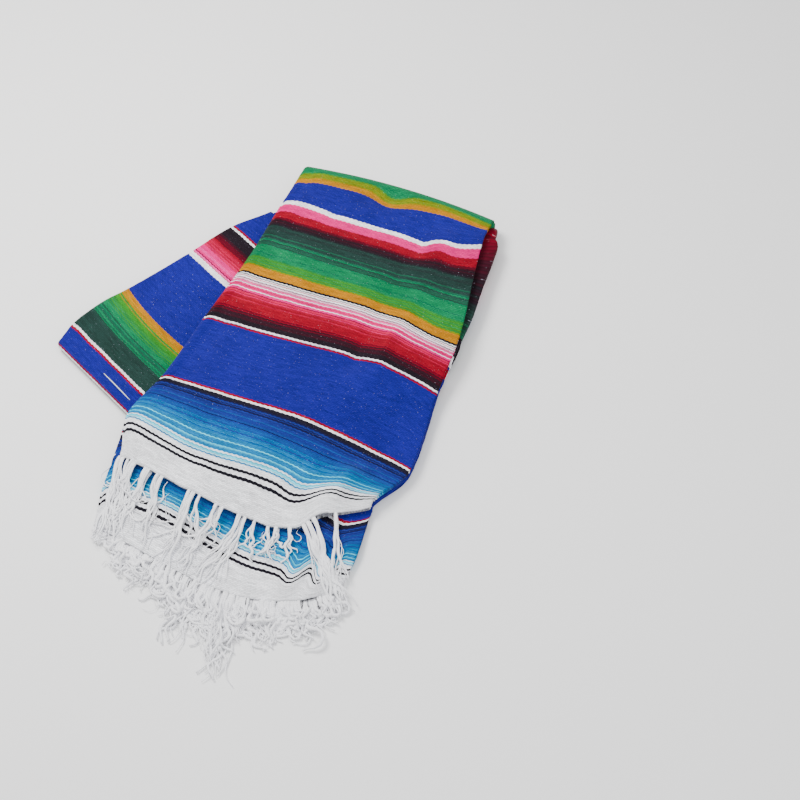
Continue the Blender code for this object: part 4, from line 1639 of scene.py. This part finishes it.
    def section(self, run: Run, at: float, form: tuple[float, float, bool]) -> tuple[np.ndarray, np.ndarray]:
        """One section.

        Args:
            run: Which run of the strip.
            at: Station, or turned angle.
            form: Offsets of both faces, and whether another piece rolls round the left edge.
        Returns:
            Its points and their cloth coordinates.
        """
        (low, high, skinned), sizes, rim = form, self.sizes, Rim()
        start = SIZES.long_roll + (sizes.skin_gap if skinned else 0.0)
        place, seed = at * 0.01 if run in TURNS else at, float(run.value)
        self.add_face(rim, low, start, True)
        self.add_right_edges(rim, low, high, self.reach(run, at), place, seed)
        self.add_face(rim, high, start, False)
        if skinned:
            for share in (0.75, 0.5, 0.25):
                rim.add(start, True, low + (high - low) * share, 0.0)
        else:
            self.add_left_edge(rim, low, high, place, seed)
        inward, left, off, across = rim.columns()
        shift = sizes.ply_shift * np.sign(off) * (np.abs(off) > sizes.ply_from)
        along = self.along(run, at) + np.where(left, 0.0, shift)
        if run in (Run.BENEATH, Run.LOWER):
            share = inward / STRIPS.get(run, TOP).width(at)
            fade = float(1 - smooth(at / sizes.gather_fade))
            length = min(at, LOWER.end) if run is Run.LOWER else LOWER.end * fade
            along = along + gathered(length, np.where(left, share, 1 - share))
        return self.place(run, at, [inward, left, off]), np.column_stack([across, along])

    def reach(self, run: Run, at: float) -> float:
        """How far the plies reach past the right edge of the top one.

        Args:
            run: Which run.
            at: Station, or turned angle.
        Returns:
            The reach.
        """
        if run is Run.BENEATH:
            return peek(at)
        if run in (Run.OUTER_TURN, Run.INNER_TURN):
            return peek(TOP.end) * (self.sizes.outer_share if run is Run.OUTER_TURN else 1.0)
        return self.sizes.hidden_reach

    def along(self, run: Run, at: float) -> float:
        """Distance from the nearer hem at a section.

        Args:
            run: Which run.
            at: Station, or turned angle.
        Returns:
            The distance.
        """
        outer, inner = self.sizes.outer_turn, self.sizes.inner_turn
        after_outer, before_middle = TOP.end + outer, HALF_LENGTH - inner
        if run is Run.BENEATH:
            table = np.array(list(BENEATH_RUN.values()))
            return float(np.interp(at, table[:, 0], table[:, 1]))
        return {
            Run.OUTER_TURN: TOP.end + outer * at / math.pi,
            Run.PACKET_LOW: before_middle + (after_outer - before_middle) * at / PACKET.end,
            Run.MIDDLE_TURN: HALF_LENGTH - abs(at / math.pi - 1) * inner,
            Run.PACKET_HIGH: HALF_LENGTH - at,
            Run.INNER_TURN: HALF_LENGTH - PACKET.end + inner * at / math.pi,
        }.get(run, at)

    def sections(self) -> list[tuple[Run, float]]:
        """Sections in order along the strip.

        Returns:
            Run and place for each.
        """
        sizes, step = self.sizes, self.fineness.layer_along
        turned = np.linspace(0, math.pi, self.fineness.turn // 2)[1:-1]
        places = {
            Run.TOP: spaced(sizes.start, TOP.end, step),
            Run.OUTER_TURN: turned,
            Run.PACKET_LOW: spaced(PACKET.end, 0.0, step),
            Run.MIDDLE_TURN: turned,
            Run.PACKET_HIGH: spaced(0.0, PACKET.end, step),
            Run.INNER_TURN: turned,
            Run.BENEATH: spaced(TOP.end, sizes.change, step) + spaced(sizes.after, sizes.join, step),
            Run.LOWER: spaced(LOWER.end - sizes.lower_start, sizes.start, step),
        }
        return [(run, at) for run, stations in places.items() for at in stations]

    def form(self, run: Run, at: float) -> tuple[float, float, bool]:
        """Offsets of both faces at a section, and whether another piece rolls round its left edge.

        Args:
            run: Which run.
            at: Station, or turned angle.
        Returns:
            Inner offset, outer offset, and whether it is skinned.
        """
        half = SIZES.strip / 2
        under_skin, bare = half - SIZES.ply - SIZES.clear, half - self.sizes.inset
        near_turn = at < SIZES.middle_underlap or at > PACKET.end - SIZES.outer_underlap
        covered = run in COVERED or (run is Run.PACKET_LOW and near_turn)
        low, high = -bare, under_skin if covered else bare
        if run is Run.TOP:
            high -= TOP_CLEARANCE
        if run is Run.LOWER or (run is Run.BENEATH and at < self.sizes.lower_skin):
            low = -under_skin
        return low, high, covered or run is Run.LOWER

    def make(self) -> bpy.types.Object:
        """Build the layers, with a closed block of sections for each stretch of one form.

        Returns:
            The finished piece.
        """
        blocks: list[list] = [[]]
        before = None
        for run, at in self.sections():
            form = self.form(run, at)
            if before is not None and self.form(*before)[2] != form[2]:
                blocks.append([self.section(*before, form)])
            blocks[-1].append(self.section(run, at, form))
            before = (run, at)
        data = MeshData()
        for block in blocks:
            points, marks = zip(*block)
            data.grid(np.array(points), np.array(marks), ring=True, caps=True)
        LOG.info("hidden layers: %d blocks, %d sections", len(blocks), sum(map(len, blocks)))
        self.left.add_loose_pick(data)
        return data.build("folded_layers", "cloth", self.material)


def spaced(start: float, end: float, step: float) -> list[float]:
    """Places from start to end, about a step apart."""
    return list(np.linspace(start, end, max(3, round(abs(end - start) / step))))


@dataclass(frozen=True)
class Tuft:
    """A knotted bunch of warp ends.

    Args:
        share: Place along the hem, 0 at the left.
        lean: Angle from the common way that the fringe hangs, in degrees, positive to the right.
        length: Length of its yarns.
        yarns: How many yarns.
        spread: Angle over which they fan out, in degrees.
        depth: How far below the face of the cloth it leaves the hem.
    """

    share: float
    lean: float
    length: float
    yarns: int
    spread: float
    depth: float = 0.0010


@dataclass(frozen=True)
class FringeSizes:
    """Sizes of a fringe: its yarns, cords and wisps, and how they wave, curl and pile up.

    Args:
        radius: Radius of a yarn.
        wisp: Radius of a wisp.
        cord: Radius of a cord.
        cords: Share of the yarns that are cords.
        wisps: How many wisps there are for each yarn.
        points: Points along each yarn.
        sides: Sides of each yarn.
        wave: How far it waves aside.
        curl: Share of the short yarns that curl.
        pile: Height to which they pile up.
        aside: Half width of a bunch at its root.
        loft: How far above the bottom a middle line stays, in radii.
    """

    radius: float = 0.00095
    wisp: float = 0.00042
    cord: float = 0.0016
    cords: float = 0.34
    wisps: float = 0.40
    points: int = 20
    sides: int = 5
    wave: float = 0.0032
    curl: float = 0.26
    pile: float = 0.007
    aside: float = 0.0018
    loft: float = 1.3


@dataclass(frozen=True)
class YarnCourse:
    """How a yarn runs from its knot: angles in radians, and places as shares of its length.

    Args:
        hang: Common way in which all yarns hang.
        jitter: Spread of the lean, in degrees.
        turned: Where a yarn has turned to the common way, and leaned where it has its lean.
        knot: Length of the knot, after which a kink sets in.
        long_yarn: Length from which a yarn lies calmer and doesn't curl.
        loose: Spread of the end's turn, and loose_long that of a long yarn.
        circle: Full circle for the phases.
        flat: How far the pile falls back towards the end.
        settle: Length over which a yarn comes down from the hem.
        sink: How far it may sink below its rest at the hem.
    """

    hang: float = math.atan2(-1.0, -0.08)
    lengths: tuple[float, float] = (0.74, 1.04)
    jitter: float = 3.0
    turned: float = 0.35
    leaned: float = 0.5
    knot: float = 0.0045
    kink: float = 0.08
    kink_over: float = 0.2
    long_yarn: float = 0.1
    loose: float = 0.45
    loose_long: float = 0.12
    loose_from: float = 0.55
    loose_over: float = 0.45
    curls: tuple[float, float] = (1.2, 3.0)
    curl_from: tuple[float, float] = (0.3, 0.6)
    curl_over: float = 0.35
    circle: float = 6.28
    waves: tuple[float, float] = (1.5, 3.5)
    wave_height: tuple[float, float] = (0.3, 1.0)
    wave_from: float = 0.05
    wave_over: float = 0.5
    pile_over: float = 0.3
    pile_mean: float = 0.6
    pile_swing: float = 0.4
    pile_turn: float = 7
    flat: float = 0.75
    flat_from: float = 0.6
    flat_over: float = 0.4
    settle: float = 0.020
    sink: float = 0.0005


@dataclass(frozen=True)
class Knot:
    """A knot: its radius along its length, and how it lies on the hem."""

    radius: float = 0.0021
    shape: tuple[float, ...] = (0.3, 0.75, 1.0, 0.72, 0.95, 1.0, 0.7, 0.35)
    length: float = 0.0085
    inset: float = 0.0015
    dip: float = -0.12
    scales: tuple[float, float] = (0.65, 0.95)
    fewest_yarns: int = 4


@dataclass(frozen=True)
class Hem:
    """The hem that a fringe is knotted to.

    Args:
        stretch: The stretch of cloth.
        tufts: The bunches along it.
        rest: Height on which plan points lie.
    """

    stretch: ClothStretch
    tufts: list[Tuft]
    rest: Callable[[np.ndarray], np.ndarray]

    def root(self, tuft: Tuft) -> tuple[np.ndarray, np.ndarray]:
        """Point where a bunch leaves the hem, and the plan direction out of the cloth.

        Args:
            tuft: The bunch.
        Returns:
            The point and the plan direction.
        """
        step = 0.006
        spots = np.clip([tuft.share, tuft.share - step, tuft.share + step], 0, 1)
        at, before, after = self.stretch.surface(0.0, np.array(spots))[0]
        run = (after - before)[:2]
        run /= np.linalg.norm(run)
        return at - np.array([0, 0, tuft.depth]), np.array([run[1], -run[0]])


class Fringe:
    """A knotted fringe: bunches of twisted yarn along one hem."""

    ROOT_HEIGHT = 0.001
    LUMP, LUMPS = 0.16, 26
    TAPER, TAPER_OVER = 0.5, 0.3
    THICKNESSES = (0.8, 1.15)

    def __init__(self, hem: Hem, sizes: FringeSizes, material: bpy.types.Material, seed: int) -> None:
        """Keep what it is made with.

        Args:
            hem: The hem it is on.
            sizes: Sizes of the yarns.
            material: Its material.
            seed: Seed of its tangle.
        """
        self.hem = hem
        self.sizes = sizes
        self.material = material
        self.random = random.Random(seed)
        self.course = YarnCourse()
        self.knot = Knot()

    def angles(self, out: np.ndarray, tuft: Tuft, part: float, length: float) -> np.ndarray:
        """Plan angles of a yarn.

        Args:
            out: Plan direction out of the cloth.
            tuft: Its bunch.
            part: Its place in the fan, from -1 to 1.
            length: Its length.
        Returns:
            Angles, shape (n,).
        """
        rand, course = self.random, self.course
        t = np.linspace(0, 1, self.sizes.points)
        short = tuft.length < course.long_yarn
        lean = math.radians(tuft.lean + part * tuft.spread / 2 + rand.gauss(0, course.jitter))
        turn = smooth(t / course.turned)
        angle = math.atan2(out[1], out[0]) * (1 - turn) + course.hang * turn
        angle = angle + lean * smooth(t / course.leaned)
        angle += smooth((t - course.knot / length) / course.kink_over) * rand.gauss(0, course.kink)
        loose = rand.gauss(0, course.loose if short else course.loose_long)
        angle += loose * smooth((t - course.loose_from) / course.loose_over)
        if short and rand.random() < self.sizes.curl:
            curl = rand.choice((-1, 1)) * rand.uniform(*course.curls)
            angle += curl * smooth((t - rand.uniform(*course.curl_from)) / course.curl_over)
        return angle

    def yarn(self, root: np.ndarray, out: np.ndarray, tuft: Tuft, part: float) -> np.ndarray:
        """Middle line of one yarn.

        Args:
            root: Where it leaves the hem.
            out: Plan direction out of the cloth.
            tuft: Its bunch.
            part: Its place in the fan, from -1 to 1.
        Returns:
            Points, shape (n, 3).
        """
        rand, sizes, course = self.random, self.sizes, self.course
        t = np.linspace(0, 1, sizes.points)
        length = tuft.length * rand.uniform(*course.lengths)
        angle = self.angles(out, tuft, part, length)
        phase, waves = rand.uniform(0, course.circle), rand.uniform(*course.waves)
        moves = np.column_stack([np.cos(angle), np.sin(angle)]) * (length / (sizes.points - 1))
        plan = root[:2] + np.concatenate([np.zeros((1, 2)), np.cumsum(moves[1:], axis=0)])
        side = np.column_stack([-np.sin(angle), np.cos(angle)])
        wave = sizes.wave * rand.uniform(*course.wave_height)
        wave = wave * smooth((t - course.wave_from) / course.wave_over)
        sway = wave * np.sin(phase + waves * course.circle * t) - wave * math.sin(phase)
        plan = plan + side * sway[:, None]
        floor = self.hem.rest(plan) + sizes.radius * sizes.loft
        pile = rand.uniform(0.0, 1.0) ** 2 * sizes.pile * smooth(t / course.pile_over)
        pile = pile * (course.pile_mean + course.pile_swing * np.sin(phase * 2 + course.pile_turn * t))
        low = floor + pile * (1 - course.flat * smooth((t - course.flat_from) / course.flat_over))
        settle = np.exp(-((t * length / course.settle) ** 2))
        height = low + np.maximum(root[2] - low, -course.sink) * settle
        return np.column_stack([plan, np.maximum(height, floor)])

    def add_tube(self, data: MeshData, line: np.ndarray, radii: np.ndarray) -> None:
        """Add a tube round a line.

        Args:
            data: Mesh to add to.
            line: Middle line.
            radii: Radius at each point.
        """
        tangent = np.gradient(line, axis=0)
        tangent /= np.linalg.norm(tangent, axis=1)[:, None] + 1e-12
        side = np.cross(tangent, UP)
        side /= np.linalg.norm(side, axis=1)[:, None] + 1e-9
        points = tube(line, side, np.cross(side, tangent), radii, self.sizes.sides)
        run = np.concatenate([[0], np.cumsum(np.linalg.norm(np.diff(line, axis=0), axis=1))])
        turns = np.linspace(0, 1, self.sizes.sides, endpoint=False)
        marks = np.stack(np.broadcast_arrays(turns[None], run[:, None]), axis=-1)
        data.grid(points, marks, ring=True, caps=True)

    def add_knot(self, data: MeshData, root: np.ndarray, out: np.ndarray) -> None:
        """Add a knot at a root.

        Args:
            data: Mesh to add to.
            root: Where the bunch leaves the hem.
            out: Plan direction out of the cloth.
        """
        knot = self.knot
        size = self.random.uniform(*knot.scales)
        t = np.linspace(0, 1, len(knot.shape))
        line = root + np.array([*out, knot.dip]) * (t[:, None] * knot.length - knot.inset) * size
        self.add_tube(data, line, knot.radius * size * np.array(knot.shape))

    def add_bunch(self, data: MeshData, tuft: Tuft) -> None:
        """Add a bunch with its knot, cords, yarns and wisps.

        Args:
            data: Mesh to add to.
            tuft: The bunch.
        """
        rand, sizes = self.random, self.sizes
        root, out = self.hem.root(tuft)
        if tuft.yarns >= self.knot.fewest_yarns:
            self.add_knot(data, root, out)
        across = np.array([-out[1], out[0], 0.0])
        t = np.linspace(0, 1, sizes.points)
        cords, wisps = round(tuft.yarns * sizes.cords), round(tuft.yarns * sizes.wisps)
        radii = [sizes.cord] * cords + [sizes.radius] * (tuft.yarns - cords) + [sizes.wisp] * wisps
        for radius in radii:
            part = rand.uniform(-1, 1)
            start = root + across * part * sizes.aside
            start = start + np.array([0, 0, rand.uniform(-self.ROOT_HEIGHT, self.ROOT_HEIGHT)])
            line = self.yarn(start, out, tuft, part)
            lumps = 1 + self.LUMP * np.sin(rand.uniform(0, self.course.circle) + self.LUMPS * t)
            taper = 1 - self.TAPER * smooth((t - (1 - self.TAPER_OVER)) / self.TAPER_OVER)
            self.add_tube(data, line, radius * lumps * rand.uniform(*self.THICKNESSES) * taper)

    def make(self, name: str) -> bpy.types.Object:
        """Build the fringe.

        Args:
            name: Name of the piece.
        Returns:
            The finished piece.
        """
        data = MeshData()
        for tuft in self.hem.tufts:
            self.add_bunch(data, tuft)
        LOG.info("%s: %d bunches", name, len(self.hem.tufts))
        return data.build(name, "yarn", self.material)


# Height of the yarns over the cloth and the floor, and the slope off the lower stretch's edge
FRINGE_CLEARANCE, FLOOR_CLEARANCE = 0.0003, 0.0008
FRINGE_SLOPE, FRINGE_BOTTOM = 0.020, 0.005


def over_lower(plan: np.ndarray) -> np.ndarray:
    """Height on which the top fringe lies: the lower stretch, or a slope off its edge.

    Args:
        plan: Plan points.
    Returns:
        Heights.
    """
    cloth = lower_height(plan) + FRINGE_CLEARANCE
    drop = np.exp(-((LOWER_OUTLINE.distance(plan) / FRINGE_SLOPE) ** 2))
    return np.where(LOWER_OUTLINE.holds(plan), cloth, FRINGE_BOTTOM + (cloth - FRINGE_BOTTOM) * drop)


def over_floor(plan: np.ndarray) -> np.ndarray:
    """Height on which the lower fringe lies."""
    return np.full(len(plan), FLOOR_CLEARANCE)


# Bunches of the top fringe: share along the hem, lean, length, yarns, spread
TOP_TUFTS = (
    (0.004, -3, 0.106, 8, 9), (0.020, 3, 0.101, 6, 12), (0.044, 12, 0.072, 4, 24),
    (0.082, -2, 0.066, 4, 14), (0.100, -10, 0.082, 4, 12), (0.150, -16, 0.088, 5, 12),
    (0.166, -26, 0.090, 4, 18), (0.206, 4, 0.070, 4, 16), (0.224, -12, 0.090, 5, 12),
    (0.340, -8, 0.090, 6, 10), (0.358, -16, 0.094, 5, 12), (0.384, 8, 0.062, 3, 24),
    (0.446, -26, 0.094, 6, 12), (0.470, 0, 0.052, 3, 30), (0.540, -32, 0.092, 5, 14),
    (0.560, -26, 0.094, 5, 12), (0.596, -8, 0.050, 3, 34), (0.650, 16, 0.042, 3, 36),
    (0.680, -14, 0.050, 4, 30), (0.730, 10, 0.040, 3, 40), (0.776, 30, 0.112, 7, 6),
    (0.790, 28, 0.116, 7, 6), (0.806, 24, 0.114, 6, 6), (0.880, 8, 0.100, 6, 6),
)
# Bunches of the plies beneath: shift along the hem, first and last place, spread of the lean,
# share of the length, yarns, extra spread and depth
BENEATH_TUFTS = (0.012, 0.004, 0.99, 8, 0.9, 3, 8, 0.005)
# Length and lean of the lower fringe at shares along its hem
LOWER_TUFTS = (
    (0.00, 0.022, 52), (0.10, 0.040, 38), (0.20, 0.060, 26), (0.40, 0.066, 16), (0.50, 0.074, 10),
    (0.56, 0.076, 10), (0.64, 0.066, 18), (0.80, 0.052, 30), (1.00, 0.034, 38),
)
# Single bunches that stick out of the lower fringe
STRAY_TUFTS = (
    (0.600, 2, 0.106, 7, 5), (0.615, -3, 0.104, 6, 5), (0.500, -28, 0.084, 3, 12),
    (0.860, 34, 0.066, 2, 20), (0.960, 40, 0.050, 2, 30),
)


def top_tufts(rand: random.Random) -> list[Tuft]:
    """Bunches of the top fringe: the ones that show, and sparser ones of the plies beneath.

    Args:
        rand: Random numbers.
    Returns:
        The bunches.
    """
    tufts = [Tuft(*row) for row in TOP_TUFTS]
    aside, first, last, lean_spread, shorter, yarns, wider, depth = BENEATH_TUFTS
    for share, lean, length, _, spread in TOP_TUFTS[::3]:
        place = min(max(share + rand.uniform(-aside, aside), first), last)
        lean += rand.gauss(0, lean_spread)
        tufts.append(Tuft(place, lean, length * shorter, yarns, spread + wider, depth))
    return tufts


@dataclass(frozen=True)
class Tangle:
    """Ranges and choices from which the bunches of the lower fringe are drawn."""

    first: float = 0.006
    last: float = 0.992
    lean: float = 20
    depths: tuple[float, ...] = (0.001, 0.002, 0.003, 0.006)
    lengths: tuple[float, float] = (0.7, 1.08)
    yarns: tuple[int, ...] = (4, 6, 8)
    spreads: tuple[float, float] = (14, 50)
    steps: tuple[float, ...] = (0.009, 0.014, 0.019, 0.034)

    def tufts(self, rand: random.Random) -> list[Tuft]:
        """Bunches of the lower fringe, close together, and the stray ones.

        Args:
            rand: Random numbers.
        Returns:
            The bunches.
        """
        shares, lengths, leans = np.array(LOWER_TUFTS).T
        tufts, share = [], self.first
        while share < self.last:
            lean = float(np.interp(share, shares, leans)) + rand.gauss(0, self.lean)
            depth = rand.choice(self.depths)
            length = float(np.interp(share, shares, lengths)) * rand.uniform(*self.lengths)
            yarns, spread = rand.choice(self.yarns), rand.uniform(*self.spreads)
            tufts.append(Tuft(share, lean, length, yarns, spread, depth))
            share += rand.choice(self.steps)
        return tufts + [Tuft(*row) for row in STRAY_TUFTS]


@dataclass(frozen=True)
class Lamp:
    """A square area light that looks at the middle."""

    name: str
    place: tuple[float, float, float]
    power: float
    size: float
    colour: tuple[float, float, float]

    def make(self) -> None:
        """Add the light."""
        data = bpy.data.lights.new(self.name, "AREA")
        data.energy, data.size, data.color = self.power, self.size, self.colour
        item = bpy.data.objects.new(self.name, data)
        item.location = self.place
        item.rotation_euler = (-Vector(self.place)).to_track_quat("-Z", "Y").to_euler()
        bpy.context.scene.collection.objects.link(item)


@dataclass(frozen=True)
class Studio:
    """Floor, lights and camera. The camera looks down at the photograph's angle."""

    floor_side: float = 8.0
    floor_colour: tuple[float, ...] = (0.93, 0.93, 0.935, 1)
    floor_roughness: float = 0.9
    sky: float = 0.75
    lens: float = 50.0
    sensor: float = 36.0
    camera_plan: tuple[float, float] = (0.152, -0.7048)
    camera_height: float = 1.2
    camera_tilt: float = 30
    lamps: tuple[Lamp, ...] = (
        Lamp("key", (-0.60, 0.45, 1.35), 30.0, 0.60, (1.0, 0.985, 0.96)),
        Lamp("fill", (0.9, -0.7, 1.3), 8.0, 1.3, (0.93, 0.96, 1.0)),
        Lamp("top", (0.1, 0.2, 2.2), 16.0, 1.6, (1.0, 1.0, 1.0)),
    )

    def make(self) -> None:
        """Build them."""
        bpy.ops.object.select_all(action="DESELECT")
        bpy.ops.mesh.primitive_plane_add(size=self.floor_side, location=(0, 0, 0))
        floor = bpy.context.object
        floor.name = "floor"
        material = bpy.data.materials.new("floor")
        material.use_nodes = True
        shader = material.node_tree.nodes["Principled BSDF"]
        shader.inputs["Base Color"].default_value = self.floor_colour
        shader.inputs["Roughness"].default_value = self.floor_roughness
        floor.data.materials.append(material)
        for lamp in self.lamps:
            lamp.make()
        world = bpy.data.worlds.new("studio")
        world.use_nodes = True
        world.node_tree.nodes["Background"].inputs["Color"].default_value = (1, 1, 1, 1)
        world.node_tree.nodes["Background"].inputs["Strength"].default_value = self.sky
        bpy.context.scene.world = world
        camera = bpy.data.cameras.new("camera")
        camera.lens, camera.sensor_width = self.lens, self.sensor
        item = bpy.data.objects.new("camera", camera)
        item.location = (*(np.array(self.camera_plan) - OUTLINE_MIDDLE), self.camera_height)
        item.rotation_euler = (math.radians(self.camera_tilt), 0, 0)
        bpy.context.scene.collection.objects.link(item)
        bpy.context.scene.camera = item


def attach(piece: bpy.types.Object, node: str) -> None:
    """Let a piece stand for its node.

    Args:
        piece: The piece.
        node: Name of the node it replaces.
    """
    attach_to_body(piece, "root")
    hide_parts(node)
    LOG.info("%s stands for %s", piece.name, node)


# The sizes of the tangled lower fringe
TANGLED = FringeSizes(
    radius=0.0011, cord=0.0021, cords=0.45, wisps=0.3, wave=0.0060, curl=0.6, pile=0.012, aside=0.0045
)


def main() -> None:
    """Build every piece of the serape, then the studio."""
    logging.basicConfig(level=logging.INFO, format="%(message)s")
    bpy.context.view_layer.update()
    cloth = StripedCloth(Weave()).make()
    yarn = FringeYarn().make()
    fineness = Fineness()
    makers = {kind: ClothStretch(kind, fineness, cloth) for kind in StretchKind}
    made = {kind: maker.make() for kind, maker in makers.items()}
    for kind, stretch in made.items():
        attach(stretch.piece, kind.value)
        LOG.info("%s: flat %s, area %.3f", kind.value, [round(x, 3) for x in stretch.flat], stretch.area)
    layers = HiddenLayers(fineness, makers[StretchKind.LEFT], cloth).make()
    attach(layers, "hidden_layers")
    upper_hem = Hem(makers[StretchKind.TOP], top_tufts(random.Random(5)), over_lower)
    lower_hem = Hem(makers[StretchKind.LOWER], Tangle().tufts(random.Random(8)), over_floor)
    upper = Fringe(upper_hem, FringeSizes(), yarn, 11).make("top_fringe_yarns")
    lower = Fringe(lower_hem, TANGLED, yarn, 12).make("lower_fringe_yarns")
    attach(upper, "fringe_top")
    attach(lower, "fringe_lower")
    Studio().make()


if __name__ == "__main__":
    main()
